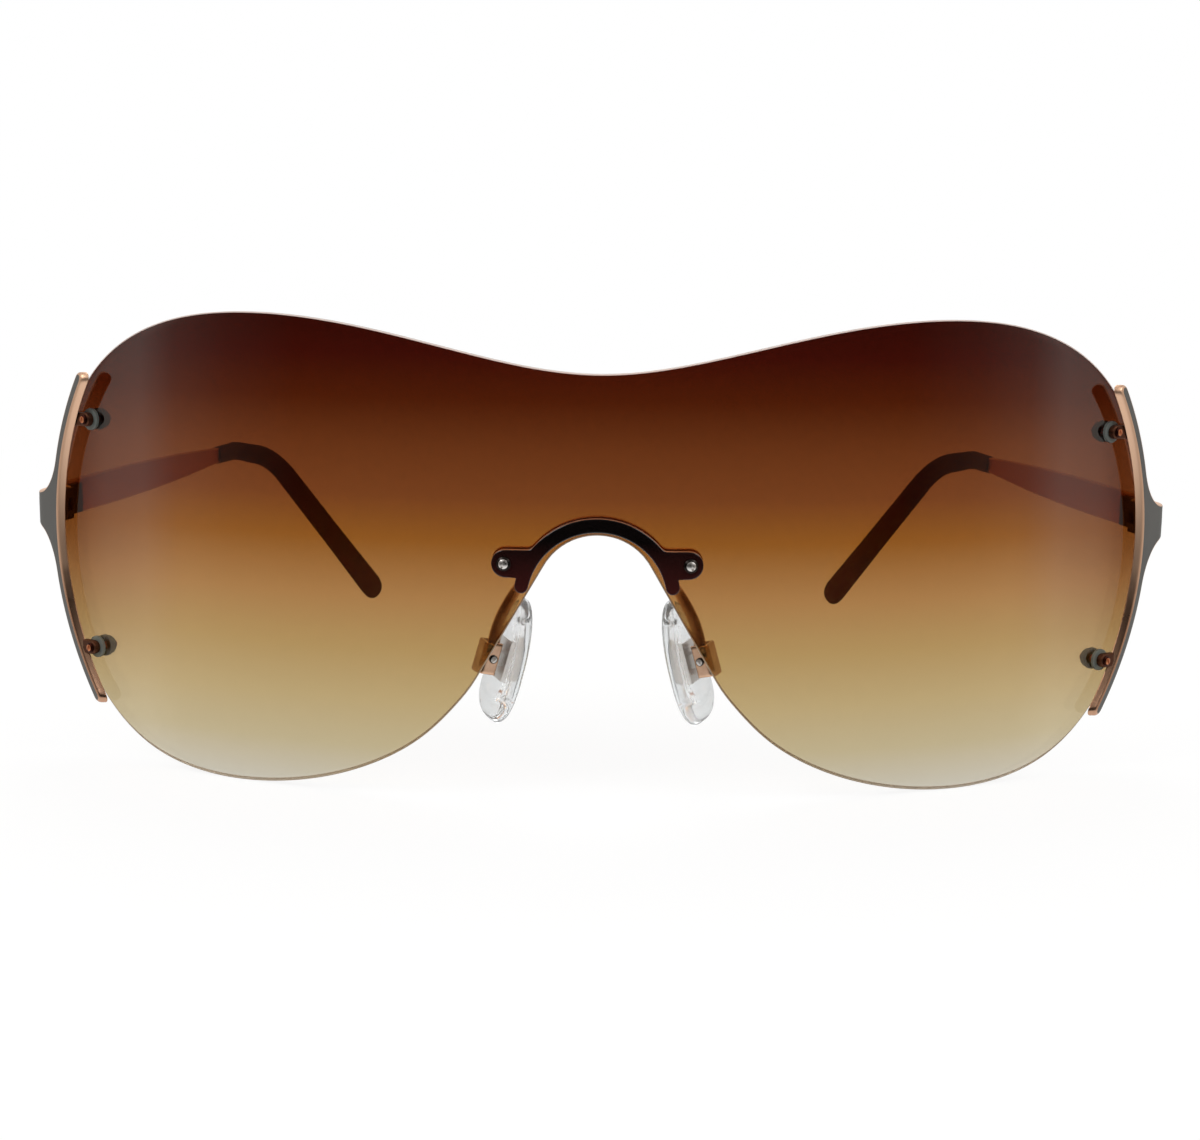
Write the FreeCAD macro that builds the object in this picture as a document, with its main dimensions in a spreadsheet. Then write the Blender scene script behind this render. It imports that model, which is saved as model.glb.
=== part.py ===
import FreeCAD, Part
import math
import os

from FreeCAD import Placement, Rotation, Vector

# Shield sunglasses: one curved lens without a rim, a metal bridge with two nose pads,
# a metal endpiece at each side and two folding temples with moulded tips.
# Millimetres. +Z is up, +X is the right of someone who faces the lens, +Y points at the ears.
# Places are measured from the middle of the lens's front face, on the table. The finished pieces
# are then set forward together, so that the origin lies under the middle of the glasses.

sizes = [
    ("lens_radius", 105, "front face of the lens, about a vertical axis"),
    ("lens_thickness", 1.8, "wall of the lens"),
    ("lens_half_width", 68.1, "from the middle to the side edge, seen from the front"),
    ("lens_height", 56.1, "from the lobes to the brow's peaks"),
    ("lens_set_forward", 71.01, "from the origin to the front of the lens"),
    ("brow_height", 49.7, "lowest point of the brow, above the bridge"),
    ("nose_arch_radius", 7, "top of the nose cut-out"),
    ("nose_arch_height", 3.25, "top of the nose cut-out, above the bridge screws"),
    ("nose_flank_angle", 30, "degrees between a straight flank and the vertical"),
    ("nose_flank_length", 15.6, "straight flank of the nose cut-out"),
    ("overrun", 2, "how far a cutting shape passes what it cuts"),
    ("metal_thickness", 0.9, "sheet of the bridge, endpieces and temples"),
    ("washer_thickness", 0.35, "clear washer on each side of the lens"),
    ("washer_radius", 1.35, "clear washer"),
    ("screw_radius", 0.6, "shank of the lens screws"),
    ("screw_clearance", 0.05, "between a shank and its hole"),
    ("screw_head_radius", 0.8, "domed head"),
    ("screw_head_height", 0.55, "domed head"),
    ("thread_clearance", 0.02, "between a shank and its nut, knuckle or wall"),
    ("nut_radius", 1.15, "round cap nut"),
    ("nut_height", 1.15, "round cap nut"),
    ("nut_cover", 0.3, "closed end of a cap nut beyond the shank"),
    ("bridge_arch_radius", 9.6, "outer edge of the bridge's arch"),
    ("bridge_arch_height", 5.3, "top of the bridge's arch, above the bridge screws"),
    ("bridge_band", 1.6, "width of the arch"),
    ("bridge_screw_reach", 10.5, "from the middle to a bridge screw"),
    ("bridge_screw_height", 28.2, "bridge screw, above the table"),
    ("bridge_ear_radius", 1.6, "round end that holds a bridge screw"),
    ("bridge_leg_height", 2.6, "from a bridge screw down to the lower end of its leg"),
    ("side_screw_inset", 5, "from the lens's side edge to a side screw"),
    ("side_screw_height", 0.5, "middle between the two screws of a side, above the bar's middle"),
    ("side_screw_spacing", 28.7, "between the two screws of a side"),
    ("lug_radius", 1.2, "eye of the endpiece that a side screw goes through"),
    ("lug_reach", 0.3, "how far a lug's tongue goes on past the bar's inner face"),
    ("bar_middle_height", 27.6, "middle of the upright bar, above the table"),
    ("bar_half_length", 19.4, "from its middle to the end of its front edge"),
    ("bar_lead", 1.6, "how far the bar's middle lies in front of the lens's side edge"),
    ("bar_bow", 4.85, "how far the bar's ends lie in front of its middle"),
    ("bar_stand", 0.5, "how far its outer corner there stands outside that edge"),
    ("bar_turn", 56, "degrees between the bar's sheet and the front of the glasses"),
    ("bar_width", 1.8, "upright bar, seen from the side"),
    ("bar_round", 100, "how the bar curves inwards to its ends, seen from the front"),
    ("flare_radius", 6, "hollow curve from the bar into the neck"),
    ("bend_lead", 6.3, "straight sheet from the bar's front edge to the bend"),
    ("bend_radius", 6, "outer face of the bend at the temple"),
    ("neck_height", 4.4, "neck of the endpiece and root of the temple"),
    ("neck_middle_height", 30.3, "neck of the endpiece, above the table"),
    ("neck_straight", 2.9, "straight end of the neck behind the bend"),
    ("temple_angle", 6.4, "degrees that the temples lean inwards"),
    ("hinge_gap", 0.3, "between the neck's end and the temple's end"),
    ("hinge_radius", 1.25, "outside of a knuckle"),
    ("hinge_standoff", 0.1, "between a knuckle and the sheet beside it"),
    ("hinge_play", 0.1, "between two knuckles, and round a turning knuckle"),
    ("hinge_height", 4, "three knuckles together"),
    ("hinge_block_length", 1.4, "solid part of the front hinge, along the neck"),
    ("hinge_leaf_length", 6, "rear leaf, along the temple"),
    ("hinge_leaf_thickness", 0.8, "rear leaf"),
    ("hinge_pin_radius", 0.55, "hinge screw"),
    ("hinge_pin_clearance", 0.05, "between the pin and the turning knuckle"),
    ("hinge_head_radius", 0.95, "head of the hinge screw"),
    ("hinge_head_height", 0.45, "head of the hinge screw"),
    ("arm_length", 65.8, "bare metal of a temple, from the hinge to the tip"),
    ("arm_swell", 0.2, "how much a temple is deeper before it tapers, above and below"),
    ("arm_end_height", 2.9, "temple where it enters the tip"),
    ("arm_rise", 0.5, "how much the temple climbs to the tip"),
    ("core_length", 8, "metal core inside the tip"),
    ("core_height", 1.5, "metal core inside the tip"),
    ("core_clearance", 0.05, "between the core and the tip round it"),
    ("tip_start_height", 3.4, "moulded tip where the metal enters"),
    ("tip_start_width", 2.1, "moulded tip where the metal enters"),
    ("tip_end_height", 4.6, "moulded tip near its end"),
    ("tip_end_width", 2.4, "moulded tip near its end"),
    ("tip_knee_reach", 10, "from the arm's end to where the tip begins to turn in"),
    ("tip_bend_reach", 12, "from that knee to the ear bend's corner, along the temple"),
    ("tip_bend_inward", 3.4, "ear bend's corner, inside the temple's outer face"),
    ("tip_bend_height", 28.6, "ear bend's corner, above the table"),
    ("tip_bend_radius", 14, "middle line of the ear bend"),
    ("tip_end_reach", 21.6, "from the ear bend's corner to the tip's end, along the temple"),
    ("tip_end_inward", 17.4, "tip's end, inside the temple's outer face"),
    ("tip_end_lift", 0.72, "middle of the tip's end, above the table"),
    ("pad_offset", 10.65, "middle of a nose pad from the middle of the glasses"),
    ("pad_depth", 9.5, "middle of a nose pad behind the front of the lens"),
    ("pad_middle_height", 15.1, "middle of a nose pad, above the table"),
    ("pad_length", 15.4, "nose pad"),
    ("pad_width", 8, "nose pad"),
    ("pad_thickness", 2.2, "nose pad"),
    ("pad_round", 0.95, "rounding of a nose pad's rim"),
    ("pad_tilt", 15.4, "degrees that a nose pad's top leans inwards"),
    ("pad_splay", 28, "degrees that a nose pad turns to face the nose"),
    ("pad_gap", 0.7, "between a nose pad and its box"),
    ("pad_lug_radius", 0.8, "eye of the pad's insert"),
    ("pad_lug_width", 1.4, "eye of the pad's insert, along its screw"),
    ("pad_lug_clearance", 0.1, "between the eye and the walls of its box"),
    ("pad_lug_root", 0.2, "between the eye and the floor of its box"),
    ("insert_length", 5, "plate of the insert inside the pad"),
    ("insert_width", 3, "plate of the insert inside the pad"),
    ("insert_thickness", 0.6, "plate of the insert inside the pad"),
    ("insert_cover", 0.4, "pad over the insert's plate, on the box's side"),
    ("pad_box_wall", 0.5, "walls and floor of the box"),
    ("pad_box_height", 4, "box, along the pad"),
    ("pad_screw_radius", 0.4, "screw through the box and the pad's eye"),
    ("pad_screw_head_radius", 0.7, "head of the pad screw"),
    ("pad_screw_head_height", 0.4, "head of the pad screw"),
    ("pad_screw_clearance", 0.05, "between the pad screw and the eye"),
    ("pad_arm_width", 1.7, "flattened wire from the bridge to a pad's box"),
    ("pad_arm_thickness", 1, "flattened wire from the bridge to a pad's box"),
    ("pad_arm_root_drop", 2.4, "wire's root below the bridge screws"),
    ("pad_arm_stand", 2.2, "how far the wire goes straight back from the bridge"),
    ("pad_arm_fall", 1, "how far the wire drops over that stretch"),
    ("pad_arm_elbow_out", 0.7, "wire's elbow outside the box's floor"),
    ("pad_arm_elbow_ahead", 0.8, "wire's elbow in front of the box's middle"),
    ("pad_arm_elbow_rise", 2.6, "wire's elbow above the box's middle"),
    ("pad_arm_seat_rise", 1, "where the wire meets the box, above its middle"),
    ("pad_arm_bend_radius", 1.1, "middle line of the wire's two bends"),
]

# The lens's rim from the brow's middle round the side to the nose flank,
# as shares of its half width and of its height.
rim_shares = [
    (0.235, 0.929), (0.411, 0.976), (0.602, 1.0), (0.764, 0.977), (0.874, 0.914), (0.952, 0.8),
    (0.987, 0.6), (0.983, 0.33), (0.959, 0.236), (0.905, 0.127), (0.815, 0.042), (0.712, 0.005),
    (0.61, 0.0), (0.5, 0.018), (0.382, 0.066), (0.294, 0.132), (0.24, 0.198),
]
# The rim's curve is drawn as edges of this many spans each, so that no edge goes far round the lens.
spans_per_edge = 2
# Where a temple is deepest, as a share of its bare length.
swell_share = 0.35
# Straight side of a domed head or cap nut, as a share of its height.
dome_side_share = 0.45
# Sections of the moulded tip after the ear bend: share of the run, share of the full section.
tip_section_shares = [(0.5, 0.93), (0.9, 1.0), (0.965, 0.84), (1.0, 0.42)]
# Full section reached at the tip's start, at both ends of the knee, and at both ends of the ear bend
# and in its middle.
tip_growth_shares = [0.0, 0.1, 0.15, 0.3, 0.42, 0.55]
# Height of the front hinge's two outer knuckles, each, as a share of the whole hinge.
outer_knuckle_share = 0.3

doc = FreeCAD.newDocument("shield_sunglasses")
sheet = doc.addObject("Spreadsheet::Sheet", "Sizes")
for row, (alias, number, note) in enumerate(sizes, start=1):
    sheet.set("A%d" % row, note)
    sheet.set("B%d" % row, str(number))
    sheet.setAlias("B%d" % row, alias)
doc.recompute()

up = Vector(0, 0, 1)
front_plane = Placement(Vector(), Rotation(Vector(1, 0, 0), up, Vector(0, -1, 0), "ZXY"))
side_plane = Placement(Vector(), Rotation(Vector(0, 1, 0), up, Vector(1, 0, 0), "ZXY"))


# Small helpers that make one document object each

def rod(name, radius, length, place):
    item = doc.addObject("Part::Cylinder", name)
    item.setExpression("Radius", radius)
    item.setExpression("Height", length)
    item.Placement = place
    return item


def block(name, length, width, height, place):
    item = doc.addObject("Part::Box", name)
    item.setExpression("Length", length)
    item.setExpression("Width", width)
    item.setExpression("Height", height)
    item.Placement = place
    return item


def sketch(name, plane, edges):
    item = doc.addObject("Sketcher::SketchObject", name)
    item.Placement = plane
    item.addGeometry(edges, False)
    return item


def prism(name, plane, edges, direction, ahead, behind):
    item = doc.addObject("Part::Extrusion", name)
    item.Base = sketch(name + "_outline", plane, edges)
    item.DirMode = "Custom"
    item.Dir = direction
    item.Solid = True
    item.setExpression("LengthFwd", ahead)
    item.setExpression("LengthRev", behind)
    return item


def turned(name, edges, place):
    item = doc.addObject("Part::Revolution", name)
    item.Source = sketch(name + "_profile", front_plane, edges)
    item.Axis = up
    item.Angle = 360
    item.Solid = True
    item.Placement = place
    return item


def cut(name, base, tool):
    item = doc.addObject("Part::Cut", name)
    item.Base = base
    item.Tool = tool
    return item


def meet(name, base, tool):
    item = doc.addObject("Part::Common", name)
    item.Base = base
    item.Tool = tool
    return item


def join(name, shapes):
    item = doc.addObject("Part::MultiFuse", name)
    item.Shapes = shapes
    item.Refine = True
    return item


def group(name, shapes):
    item = doc.addObject("Part::Compound", name)
    item.Links = shapes
    return item


def mirrored(name, source):
    item = doc.addObject("Part::Mirroring", name)
    item.Source = source
    item.Normal = Vector(1, 0, 0)
    return item


def lines(points):
    return [Part.LineSegment(a, b) for a, b in zip(points, points[1:])]


def rounded_path(points, radius):
    """Straight runs through the points, joined by tangent arcs of one radius."""
    edges = []
    start = points[0]
    for before, corner, after in zip(points, points[1:], points[2:]):
        back = (before - corner).normalize()
        ahead = (after - corner).normalize()
        half = back.getAngle(ahead) / 2
        reach = radius / math.tan(half)
        inward = (back + ahead).normalize()
        top = corner + inward * (radius / math.sin(half) - radius)
        edges.append(Part.LineSegment(start, corner + back * reach))
        edges.append(Part.Arc(corner + back * reach, top, corner + ahead * reach))
        start = corner + ahead * reach
    edges.append(Part.LineSegment(start, points[-1]))
    return edges


# The lens and the thin shells in front of it and behind it, all about one vertical axis

def on_lens(offset, angle, height):
    """A point at an angle from the middle, so far in front of the lens's front face."""
    radius = sheet.lens_radius + offset
    return Vector(radius * math.sin(angle), sheet.lens_radius - radius * math.cos(angle), height)


def normal_frame(offset, angle, height):
    """A frame on the lens whose Z points straight out of it and whose Y is up."""
    outward = Vector(math.sin(angle), -math.cos(angle), 0)
    along = Vector(math.cos(angle), math.sin(angle), 0)
    return Placement(on_lens(offset, angle, height), Rotation(along, up, outward, "ZXY"))


def lens_cylinder(name, radius):
    item = rod(name, radius, "Sizes.lens_height + 2 * Sizes.overrun", Placement())
    item.setExpression("Placement.Base.y", "Sizes.lens_radius")
    item.setExpression("Placement.Base.z", "-Sizes.overrun")
    return item


front_stack = sheet.washer_thickness + sheet.metal_thickness
back_stack = -sheet.lens_thickness - front_stack
metal_front = lens_cylinder("metal_front",
                            "Sizes.lens_radius + Sizes.washer_thickness + Sizes.metal_thickness")
washer_front = lens_cylinder("washer_front", "Sizes.lens_radius + Sizes.washer_thickness")
lens_front = lens_cylinder("lens_front", "Sizes.lens_radius")
lens_back = lens_cylinder("lens_back", "Sizes.lens_radius - Sizes.lens_thickness")
washer_back = lens_cylinder("washer_back",
                            "Sizes.lens_radius - Sizes.lens_thickness - Sizes.washer_thickness")
metal_back = lens_cylinder("metal_back", "Sizes.lens_radius - Sizes.lens_thickness"
                           " - Sizes.washer_thickness - Sizes.metal_thickness")
front_metal_shell = cut("front_metal_shell", metal_front, washer_front)
front_washer_shell = cut("front_washer_shell", washer_front, lens_front)
lens_shell = cut("lens_shell", lens_front, lens_back)
back_washer_shell = cut("back_washer_shell", lens_back, washer_back)
back_metal_shell = cut("back_metal_shell", washer_back, metal_back)

bridge_angle = math.asin(sheet.bridge_screw_reach / sheet.lens_radius)
side_angle = math.asin((sheet.lens_half_width - sheet.side_screw_inset) / sheet.lens_radius)
edge_angle = math.asin(sheet.lens_half_width / sheet.lens_radius)
side_middle = sheet.bar_middle_height + sheet.side_screw_height
side_heights = [side_middle + half * sheet.side_screw_spacing / 2 for half in (-1, 1)]
fixing_places = [(bridge_angle, sheet.bridge_screw_height)]
fixing_places += [(side_angle, height) for height in side_heights]


def fixing_hole(name, angle, height):
    start = back_stack - sheet.overrun
    return rod(name, "Sizes.screw_radius + Sizes.screw_clearance",
               "Sizes.lens_thickness + 2 * (Sizes.washer_thickness + Sizes.metal_thickness"
               " + Sizes.overrun)", normal_frame(start, angle, height))


fixing_holes = [fixing_hole("fixing_hole_%d" % count, *place)
                for count, place in enumerate(fixing_places)]
right_holes = join("right_holes", fixing_holes)
left_holes = mirrored("left_holes", right_holes)


def part_of(curve, first, last):
    """Stretch of a curve between two of its knots."""
    stretch = curve.copy()
    stretch.segment(first, last)
    return stretch


def flipped(point):
    return Vector(-point.x, point.y)


def lens_outline():
    """Brow, sides and lobes as one smooth curve; straight flanks and a round arch at the nose."""
    slope = math.radians(sheet.nose_flank_angle)
    top = sheet.bridge_screw_height + sheet.nose_arch_height
    centre = top - sheet.nose_arch_radius
    flank = Vector(math.sin(slope), -math.cos(slope))
    shoulder = Vector(0, centre) + Vector(math.cos(slope), math.sin(slope)) * sheet.nose_arch_radius
    foot = shoulder + flank * sheet.nose_flank_length
    right = [Vector(across * sheet.lens_half_width, high * sheet.lens_height)
             for across, high in rim_shares] + [foot]
    left = [flipped(point) for point in reversed(right)]
    rim = Part.BSplineCurve()
    rim.interpolate(Points=left + [Vector(0, sheet.brow_height)] + right,
                    InitialTangent=flipped(flank), FinalTangent=flank * -1, Scale=False)
    arch = Part.Arc(flipped(shoulder), Vector(0, top), shoulder)
    flanks = [Part.LineSegment(flipped(foot), flipped(shoulder)), Part.LineSegment(shoulder, foot)]
    knots = rim.getKnots()[::spans_per_edge]
    return [part_of(rim, first, last) for first, last in zip(knots, knots[1:])] + flanks + [arch]


def make_lens():
    outline = prism("lens_prism", front_plane, lens_outline(), Vector(0, 1, 0),
                    "Sizes.lens_radius", "Sizes.overrun")
    blank = meet("lens_blank", lens_shell, outline)
    return cut("shield_lens", cut("lens_half_drilled", blank, right_holes), left_holes)


# The bridge: the same arch in front of the lens and behind it

arch_centre = sheet.bridge_screw_height + sheet.bridge_arch_height - sheet.bridge_arch_radius


def on_arch(radius, height):
    """Right-hand point of the bridge's arch at a height above the table."""
    return Vector(math.sqrt(radius ** 2 - (height - arch_centre) ** 2), height)


def bridge_outline():
    """Arch over the nose, with a round ear at each screw and a round-ended leg below it."""
    outer = sheet.bridge_arch_radius
    inner = outer - sheet.bridge_band
    ear = sheet.bridge_ear_radius
    reach = sheet.bridge_screw_reach
    ear_middle = sheet.bridge_screw_height
    ear_top = ear_middle + ear
    ear_base = ear_middle - ear
    leg = ear_middle - sheet.bridge_leg_height
    leg_end = on_arch(outer - sheet.bridge_band / 2, leg) - Vector(0, sheet.bridge_band / 2)
    corners = [on_arch(outer, ear_top), Vector(reach, ear_top), Vector(reach + ear, ear_middle),
               Vector(reach, ear_base), on_arch(outer, ear_base),
               on_arch(outer, (ear_base + leg) / 2), on_arch(outer, leg), leg_end, on_arch(inner, leg)]
    edges = []
    for side in (corners, [flipped(point) for point in corners]):
        edges.append(Part.LineSegment(side[0], side[1]))
        edges.append(Part.Arc(side[1], side[2], side[3]))
        edges.append(Part.LineSegment(side[3], side[4]))
        edges.append(Part.Arc(side[4], side[5], side[6]))
        edges.append(Part.Arc(side[6], side[7], side[8]))
    edges.append(Part.Arc(flipped(corners[0]), Vector(0, arch_centre + outer), corners[0]))
    edges.append(Part.Arc(flipped(corners[8]), Vector(0, arch_centre + inner), corners[8]))
    return edges


bridge_prism = prism("bridge_prism", front_plane, bridge_outline(), Vector(0, 1, 0), "Sizes.lens_radius",
                     "Sizes.washer_thickness + Sizes.metal_thickness + Sizes.overrun")


def make_bridge_plate(name, shell):
    blank = meet(name + "_blank", shell, bridge_prism)
    return cut(name, cut(name + "_half_drilled", blank, right_holes), left_holes)


# Screws, clear washers and cap nuts that hold the lens

def dome(radius, side, top):
    """Arc of a dome's half section, from its straight side to its top."""
    rise = top - side
    crown = (radius ** 2 + rise ** 2) / (2 * rise)
    middle = top - crown + math.copysign(math.sqrt(crown ** 2 - radius ** 2 / 4), rise)
    return Part.Arc(Vector(radius, side), Vector(radius / 2, middle), Vector(0, top))


def headed_pin(name, radius, length, head_radius, head_height, place):
    """A shank below Z = 0 with a domed head above it."""
    side = head_height * dome_side_share
    points = [Vector(0, head_height), Vector(0, -length), Vector(radius, -length), Vector(radius, 0),
              Vector(head_radius, 0), Vector(head_radius, side)]
    return turned(name, lines(points) + [dome(head_radius, side, head_height)], place)


def lens_screw(name, angle, height, nut_seat):
    length = front_stack - nut_seat + sheet.nut_height - sheet.nut_cover
    return headed_pin(name, sheet.screw_radius, length, sheet.screw_head_radius,
                      sheet.screw_head_height, normal_frame(front_stack, angle, height))


def cap_nut(name, angle, height, nut_seat, seat_cylinder):
    """Round nut with a domed, closed end, seated on the curved face inside the seat's cylinder."""
    side = -sheet.nut_height * dome_side_share
    base = sheet.washer_thickness
    points = [Vector(0, -sheet.nut_height), Vector(0, base), Vector(sheet.nut_radius, base),
              Vector(sheet.nut_radius, side)]
    edges = lines(points) + [dome(sheet.nut_radius, side, -sheet.nut_height)]
    solid = turned(name + "_solid", edges, normal_frame(nut_seat, angle, height))
    seated = meet(name + "_seated", seat_cylinder, solid)
    depth = nut_seat - sheet.nut_height + sheet.nut_cover
    bore = rod(name + "_bore", "Sizes.screw_radius + Sizes.thread_clearance",
               "Sizes.nut_height + Sizes.overrun", normal_frame(depth, angle, height))
    return cut(name, seated, bore)


washer_shells = group("washer_shells", [front_washer_shell, back_washer_shell])


def washer_pair(name, angle, height):
    disc = rod(name + "_disc", "Sizes.washer_radius",
               "Sizes.lens_thickness + 2 * (Sizes.washer_thickness + Sizes.metal_thickness)",
               normal_frame(back_stack, angle, height))
    return cut(name, meet(name + "_blank", washer_shells, disc), right_holes)


def both_sides(name, shapes):
    return group(name, shapes + [mirrored(shape.Name + "_left", shape) for shape in shapes])


def make_fixings(name, places, nut_seat, seat_cylinder):
    """Screws, washers and nuts of the given holes and of their mirror images."""
    screws = []
    washers = []
    nuts = []
    for count, (angle, height) in enumerate(places):
        mark = "_%d" % count
        screws.append(lens_screw(name + "_screw" + mark, angle, height, nut_seat))
        washers.append(washer_pair(name + "_washer" + mark, angle, height))
        nuts.append(cap_nut(name + "_nut" + mark, angle, height, nut_seat, seat_cylinder))
    return [both_sides(name + "_screws", screws), both_sides(name + "_washers", washers),
            both_sides(name + "_nuts", nuts)]


# The endpiece: sheet that stands along the lens's side edge, bows forward to its ends, bends back
# to the temple and has two lugs on the lens's curve

lean = math.radians(sheet.temple_angle)
back_along = Vector(-math.sin(lean), math.cos(lean), 0)
bar_corner = on_lens(0, edge_angle, 0) + Vector(sheet.bar_stand, -sheet.bar_lead, 0)
bar_turn = math.radians(sheet.bar_turn)
bar_along = Vector(math.cos(bar_turn), math.sin(bar_turn), 0)
bar_inward = Vector(-math.sin(bar_turn), math.cos(bar_turn), 0)
bend_centre = bar_corner + bar_along * sheet.bend_lead + bar_inward * sheet.bend_radius
neck_start = bend_centre + Vector(math.cos(lean), math.sin(lean), 0) * sheet.bend_radius
hinge_corner = neck_start + back_along * (sheet.neck_straight + sheet.hinge_gap / 2)
temple_frame = Placement(hinge_corner, Rotation(up, 90 + sheet.temple_angle))
bow_radius = (sheet.bar_half_length ** 2 + sheet.bar_bow ** 2) / (2 * sheet.bar_bow)
bow_centre = Vector(bar_corner.y - bow_radius, sheet.bar_middle_height)


def in_temple(along, inward, height):
    """Frame along the temple: X back from the hinge, Y inwards from the outer face, Z up."""
    return temple_frame * Placement(Vector(along, inward, height), Rotation())


def band_side(depth):
    """Edges of the band's plan, so deep under its outer face, from the bar's front to the neck's end."""
    radius = sheet.bend_radius - depth
    first, last = bar_turn - math.pi / 2, lean

    def on_bend(angle):
        return bend_centre + Vector(math.cos(angle), math.sin(angle), 0) * radius

    front = on_bend(first) - bar_along * (sheet.bend_lead + 2 * sheet.bar_bow + sheet.overrun)
    bend = Part.Arc(on_bend(first), on_bend((first + last) / 2), on_bend(last))
    end = on_bend(last) + back_along * sheet.neck_straight
    return [Part.LineSegment(front, on_bend(first)), bend, Part.LineSegment(on_bend(last), end)]


def band_plan():
    outer = band_side(0)
    inner = band_side(sheet.metal_thickness)
    ends = [Part.LineSegment(outer[0].StartPoint, inner[0].StartPoint),
            Part.LineSegment(outer[2].EndPoint, inner[2].EndPoint)]
    return outer + inner + ends


def endpiece_profile():
    """Side view: a bowed upright bar that flares by two hollow curves into the neck."""
    bow = bow_radius
    rear = bow + sheet.bar_width
    end_angle = math.asin(sheet.bar_half_length / bow)
    cap_angle = end_angle + sheet.bar_width / 2 / bow
    neck_end = hinge_corner.y + sheet.overrun

    def on_bow(radius, angle):
        return bow_centre + Vector(math.cos(angle), math.sin(angle)) * radius

    edges = [Part.Arc(on_bow(bow, -end_angle), on_bow(bow, 0), on_bow(bow, end_angle))]
    neck_corners = []
    for sign in (-1, 1):
        neck_edge = sheet.neck_middle_height + sign * sheet.neck_height / 2
        flare_height = neck_edge + sign * sheet.flare_radius
        turn = math.asin((flare_height - bow_centre.y) / (rear + sheet.flare_radius))
        flare = on_bow(rear + sheet.flare_radius, turn)
        landing = Vector(flare.x, neck_edge)
        half = Vector(on_bow(rear, turn) - flare).normalize() + Vector(0, -sign)
        waist = flare + half.normalize() * sheet.flare_radius
        cap = on_bow(bow + sheet.bar_width / 2, sign * cap_angle)
        edges.append(Part.Arc(on_bow(bow, sign * end_angle), cap, on_bow(rear, sign * end_angle)))
        edges.append(Part.Arc(on_bow(rear, sign * end_angle), on_bow(rear, (sign * end_angle + turn) / 2),
                              on_bow(rear, turn)))
        edges.append(Part.Arc(on_bow(rear, turn), waist, landing))
        edges.append(Part.LineSegment(landing, Vector(neck_end, neck_edge)))
        neck_corners.append(Vector(neck_end, neck_edge))
    edges.append(Part.LineSegment(neck_corners[0], neck_corners[1]))
    return edges


def lug_foot(height):
    """Where the middle of a lug's sheet on the lens's curve meets the inner face of the bar's sheet."""
    offset = sheet.washer_thickness + sheet.metal_thickness / 2
    drop = math.sqrt(sheet.bar_round ** 2 - (height - sheet.neck_middle_height) ** 2) - sheet.bar_round
    corner = bar_corner + Vector(drop, 0)
    across = (Vector(0, sheet.lens_radius) - corner).dot(bar_inward) - sheet.metal_thickness
    angle = bar_turn - math.acos(across / (sheet.lens_radius + offset))
    return on_lens(offset, angle, 0) - on_lens(offset, side_angle, 0), on_lens(offset, angle, 0).y


def lug_shapes(name, height):
    """Eye round a side screw and the tongue that runs from it to the bar's sheet."""
    depth = "2 * (Sizes.metal_thickness + Sizes.washer_thickness)"
    frame = normal_frame(0, side_angle, height)
    eye = rod(name + "_eye", "Sizes.lug_radius", depth, frame)
    run = lug_foot(height)[0].dot(frame.Rotation.multVec(Vector(1, 0, 0))) + sheet.lug_reach
    side = sheet.lug_radius
    corners = [Vector(0, -side), Vector(run, -side), Vector(run, side), Vector(0, side), Vector(0, -side)]
    tongue = prism(name + "_tongue", frame, lines(corners), frame.Rotation.multVec(up), depth, "0")
    return [eye, tongue]


def lug_root(name, height):
    """Side view of the bar's sheet from the bar's middle to where a lug meets it, drawn out sideways."""
    middle = sheet.bar_width / 2 + bow_radius
    first = bow_centre.x + math.sqrt(middle ** 2 - (height - bow_centre.y) ** 2)
    last = lug_foot(height)[1]
    low, high = height - sheet.lug_radius, height + sheet.lug_radius
    corners = [Vector(first, low), Vector(last, low), Vector(last, high), Vector(first, high),
               Vector(first, low)]
    return prism(name, side_plane, lines(corners), Vector(1, 0, 0),
                 "Sizes.lens_half_width + Sizes.bend_radius", "0")


def make_band():
    """The band's plan, swung up and down about a line from front to back at the neck's height."""
    plane = Placement(Vector(0, 0, sheet.neck_middle_height), Rotation())
    item = doc.addObject("Part::Revolution", "endpiece_band")
    item.Source = sketch("endpiece_band_outline", plane, band_plan())
    item.Axis = Vector(0, 1, 0)
    item.Base = Vector(bar_corner.x - sheet.bar_round, 0, sheet.neck_middle_height)
    item.Angle = math.degrees(2 * math.asin(sheet.lens_height / sheet.bar_round))
    item.Symmetric = True
    item.Solid = True
    return item


band = make_band()


def make_endpiece():
    bar = prism("endpiece_bar", side_plane, endpiece_profile(), Vector(1, 0, 0),
                "Sizes.lens_half_width + Sizes.bend_radius", "0")
    lower, upper = side_heights
    side = join("endpiece_side", [bar, lug_root("lower_root", lower), lug_root("upper_root", upper)])
    lugs = join("lugs", lug_shapes("lower_lug", lower) + lug_shapes("upper_lug", upper))
    sheets = [meet("endpiece_sheet", band, side), meet("endpiece_lugs", front_metal_shell, lugs)]
    return cut("endpiece_right", join("endpiece_blank", sheets), right_holes)


# The hinge, in the temple's frame: two front knuckles, one rear knuckle between them and a screw

hinge_inset = sheet.metal_thickness + sheet.hinge_standoff + sheet.hinge_radius
hinge_base = sheet.neck_middle_height - sheet.hinge_height / 2
outer_knuckle = sheet.hinge_height * outer_knuckle_share
clear_of_knuckle = sheet.hinge_radius + sheet.hinge_play


def knuckle(name, first, reach, base, height):
    """Round eye on the hinge's axis and the square root that joins it to its leaf."""
    eye = rod(name + "_eye", "Sizes.hinge_radius", height, in_temple(0, hinge_inset, base))
    root = block(name + "_root", reach, "2 * Sizes.hinge_radius", height,
                 in_temple(first, hinge_inset - sheet.hinge_radius, base))
    return [eye, root]


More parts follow.
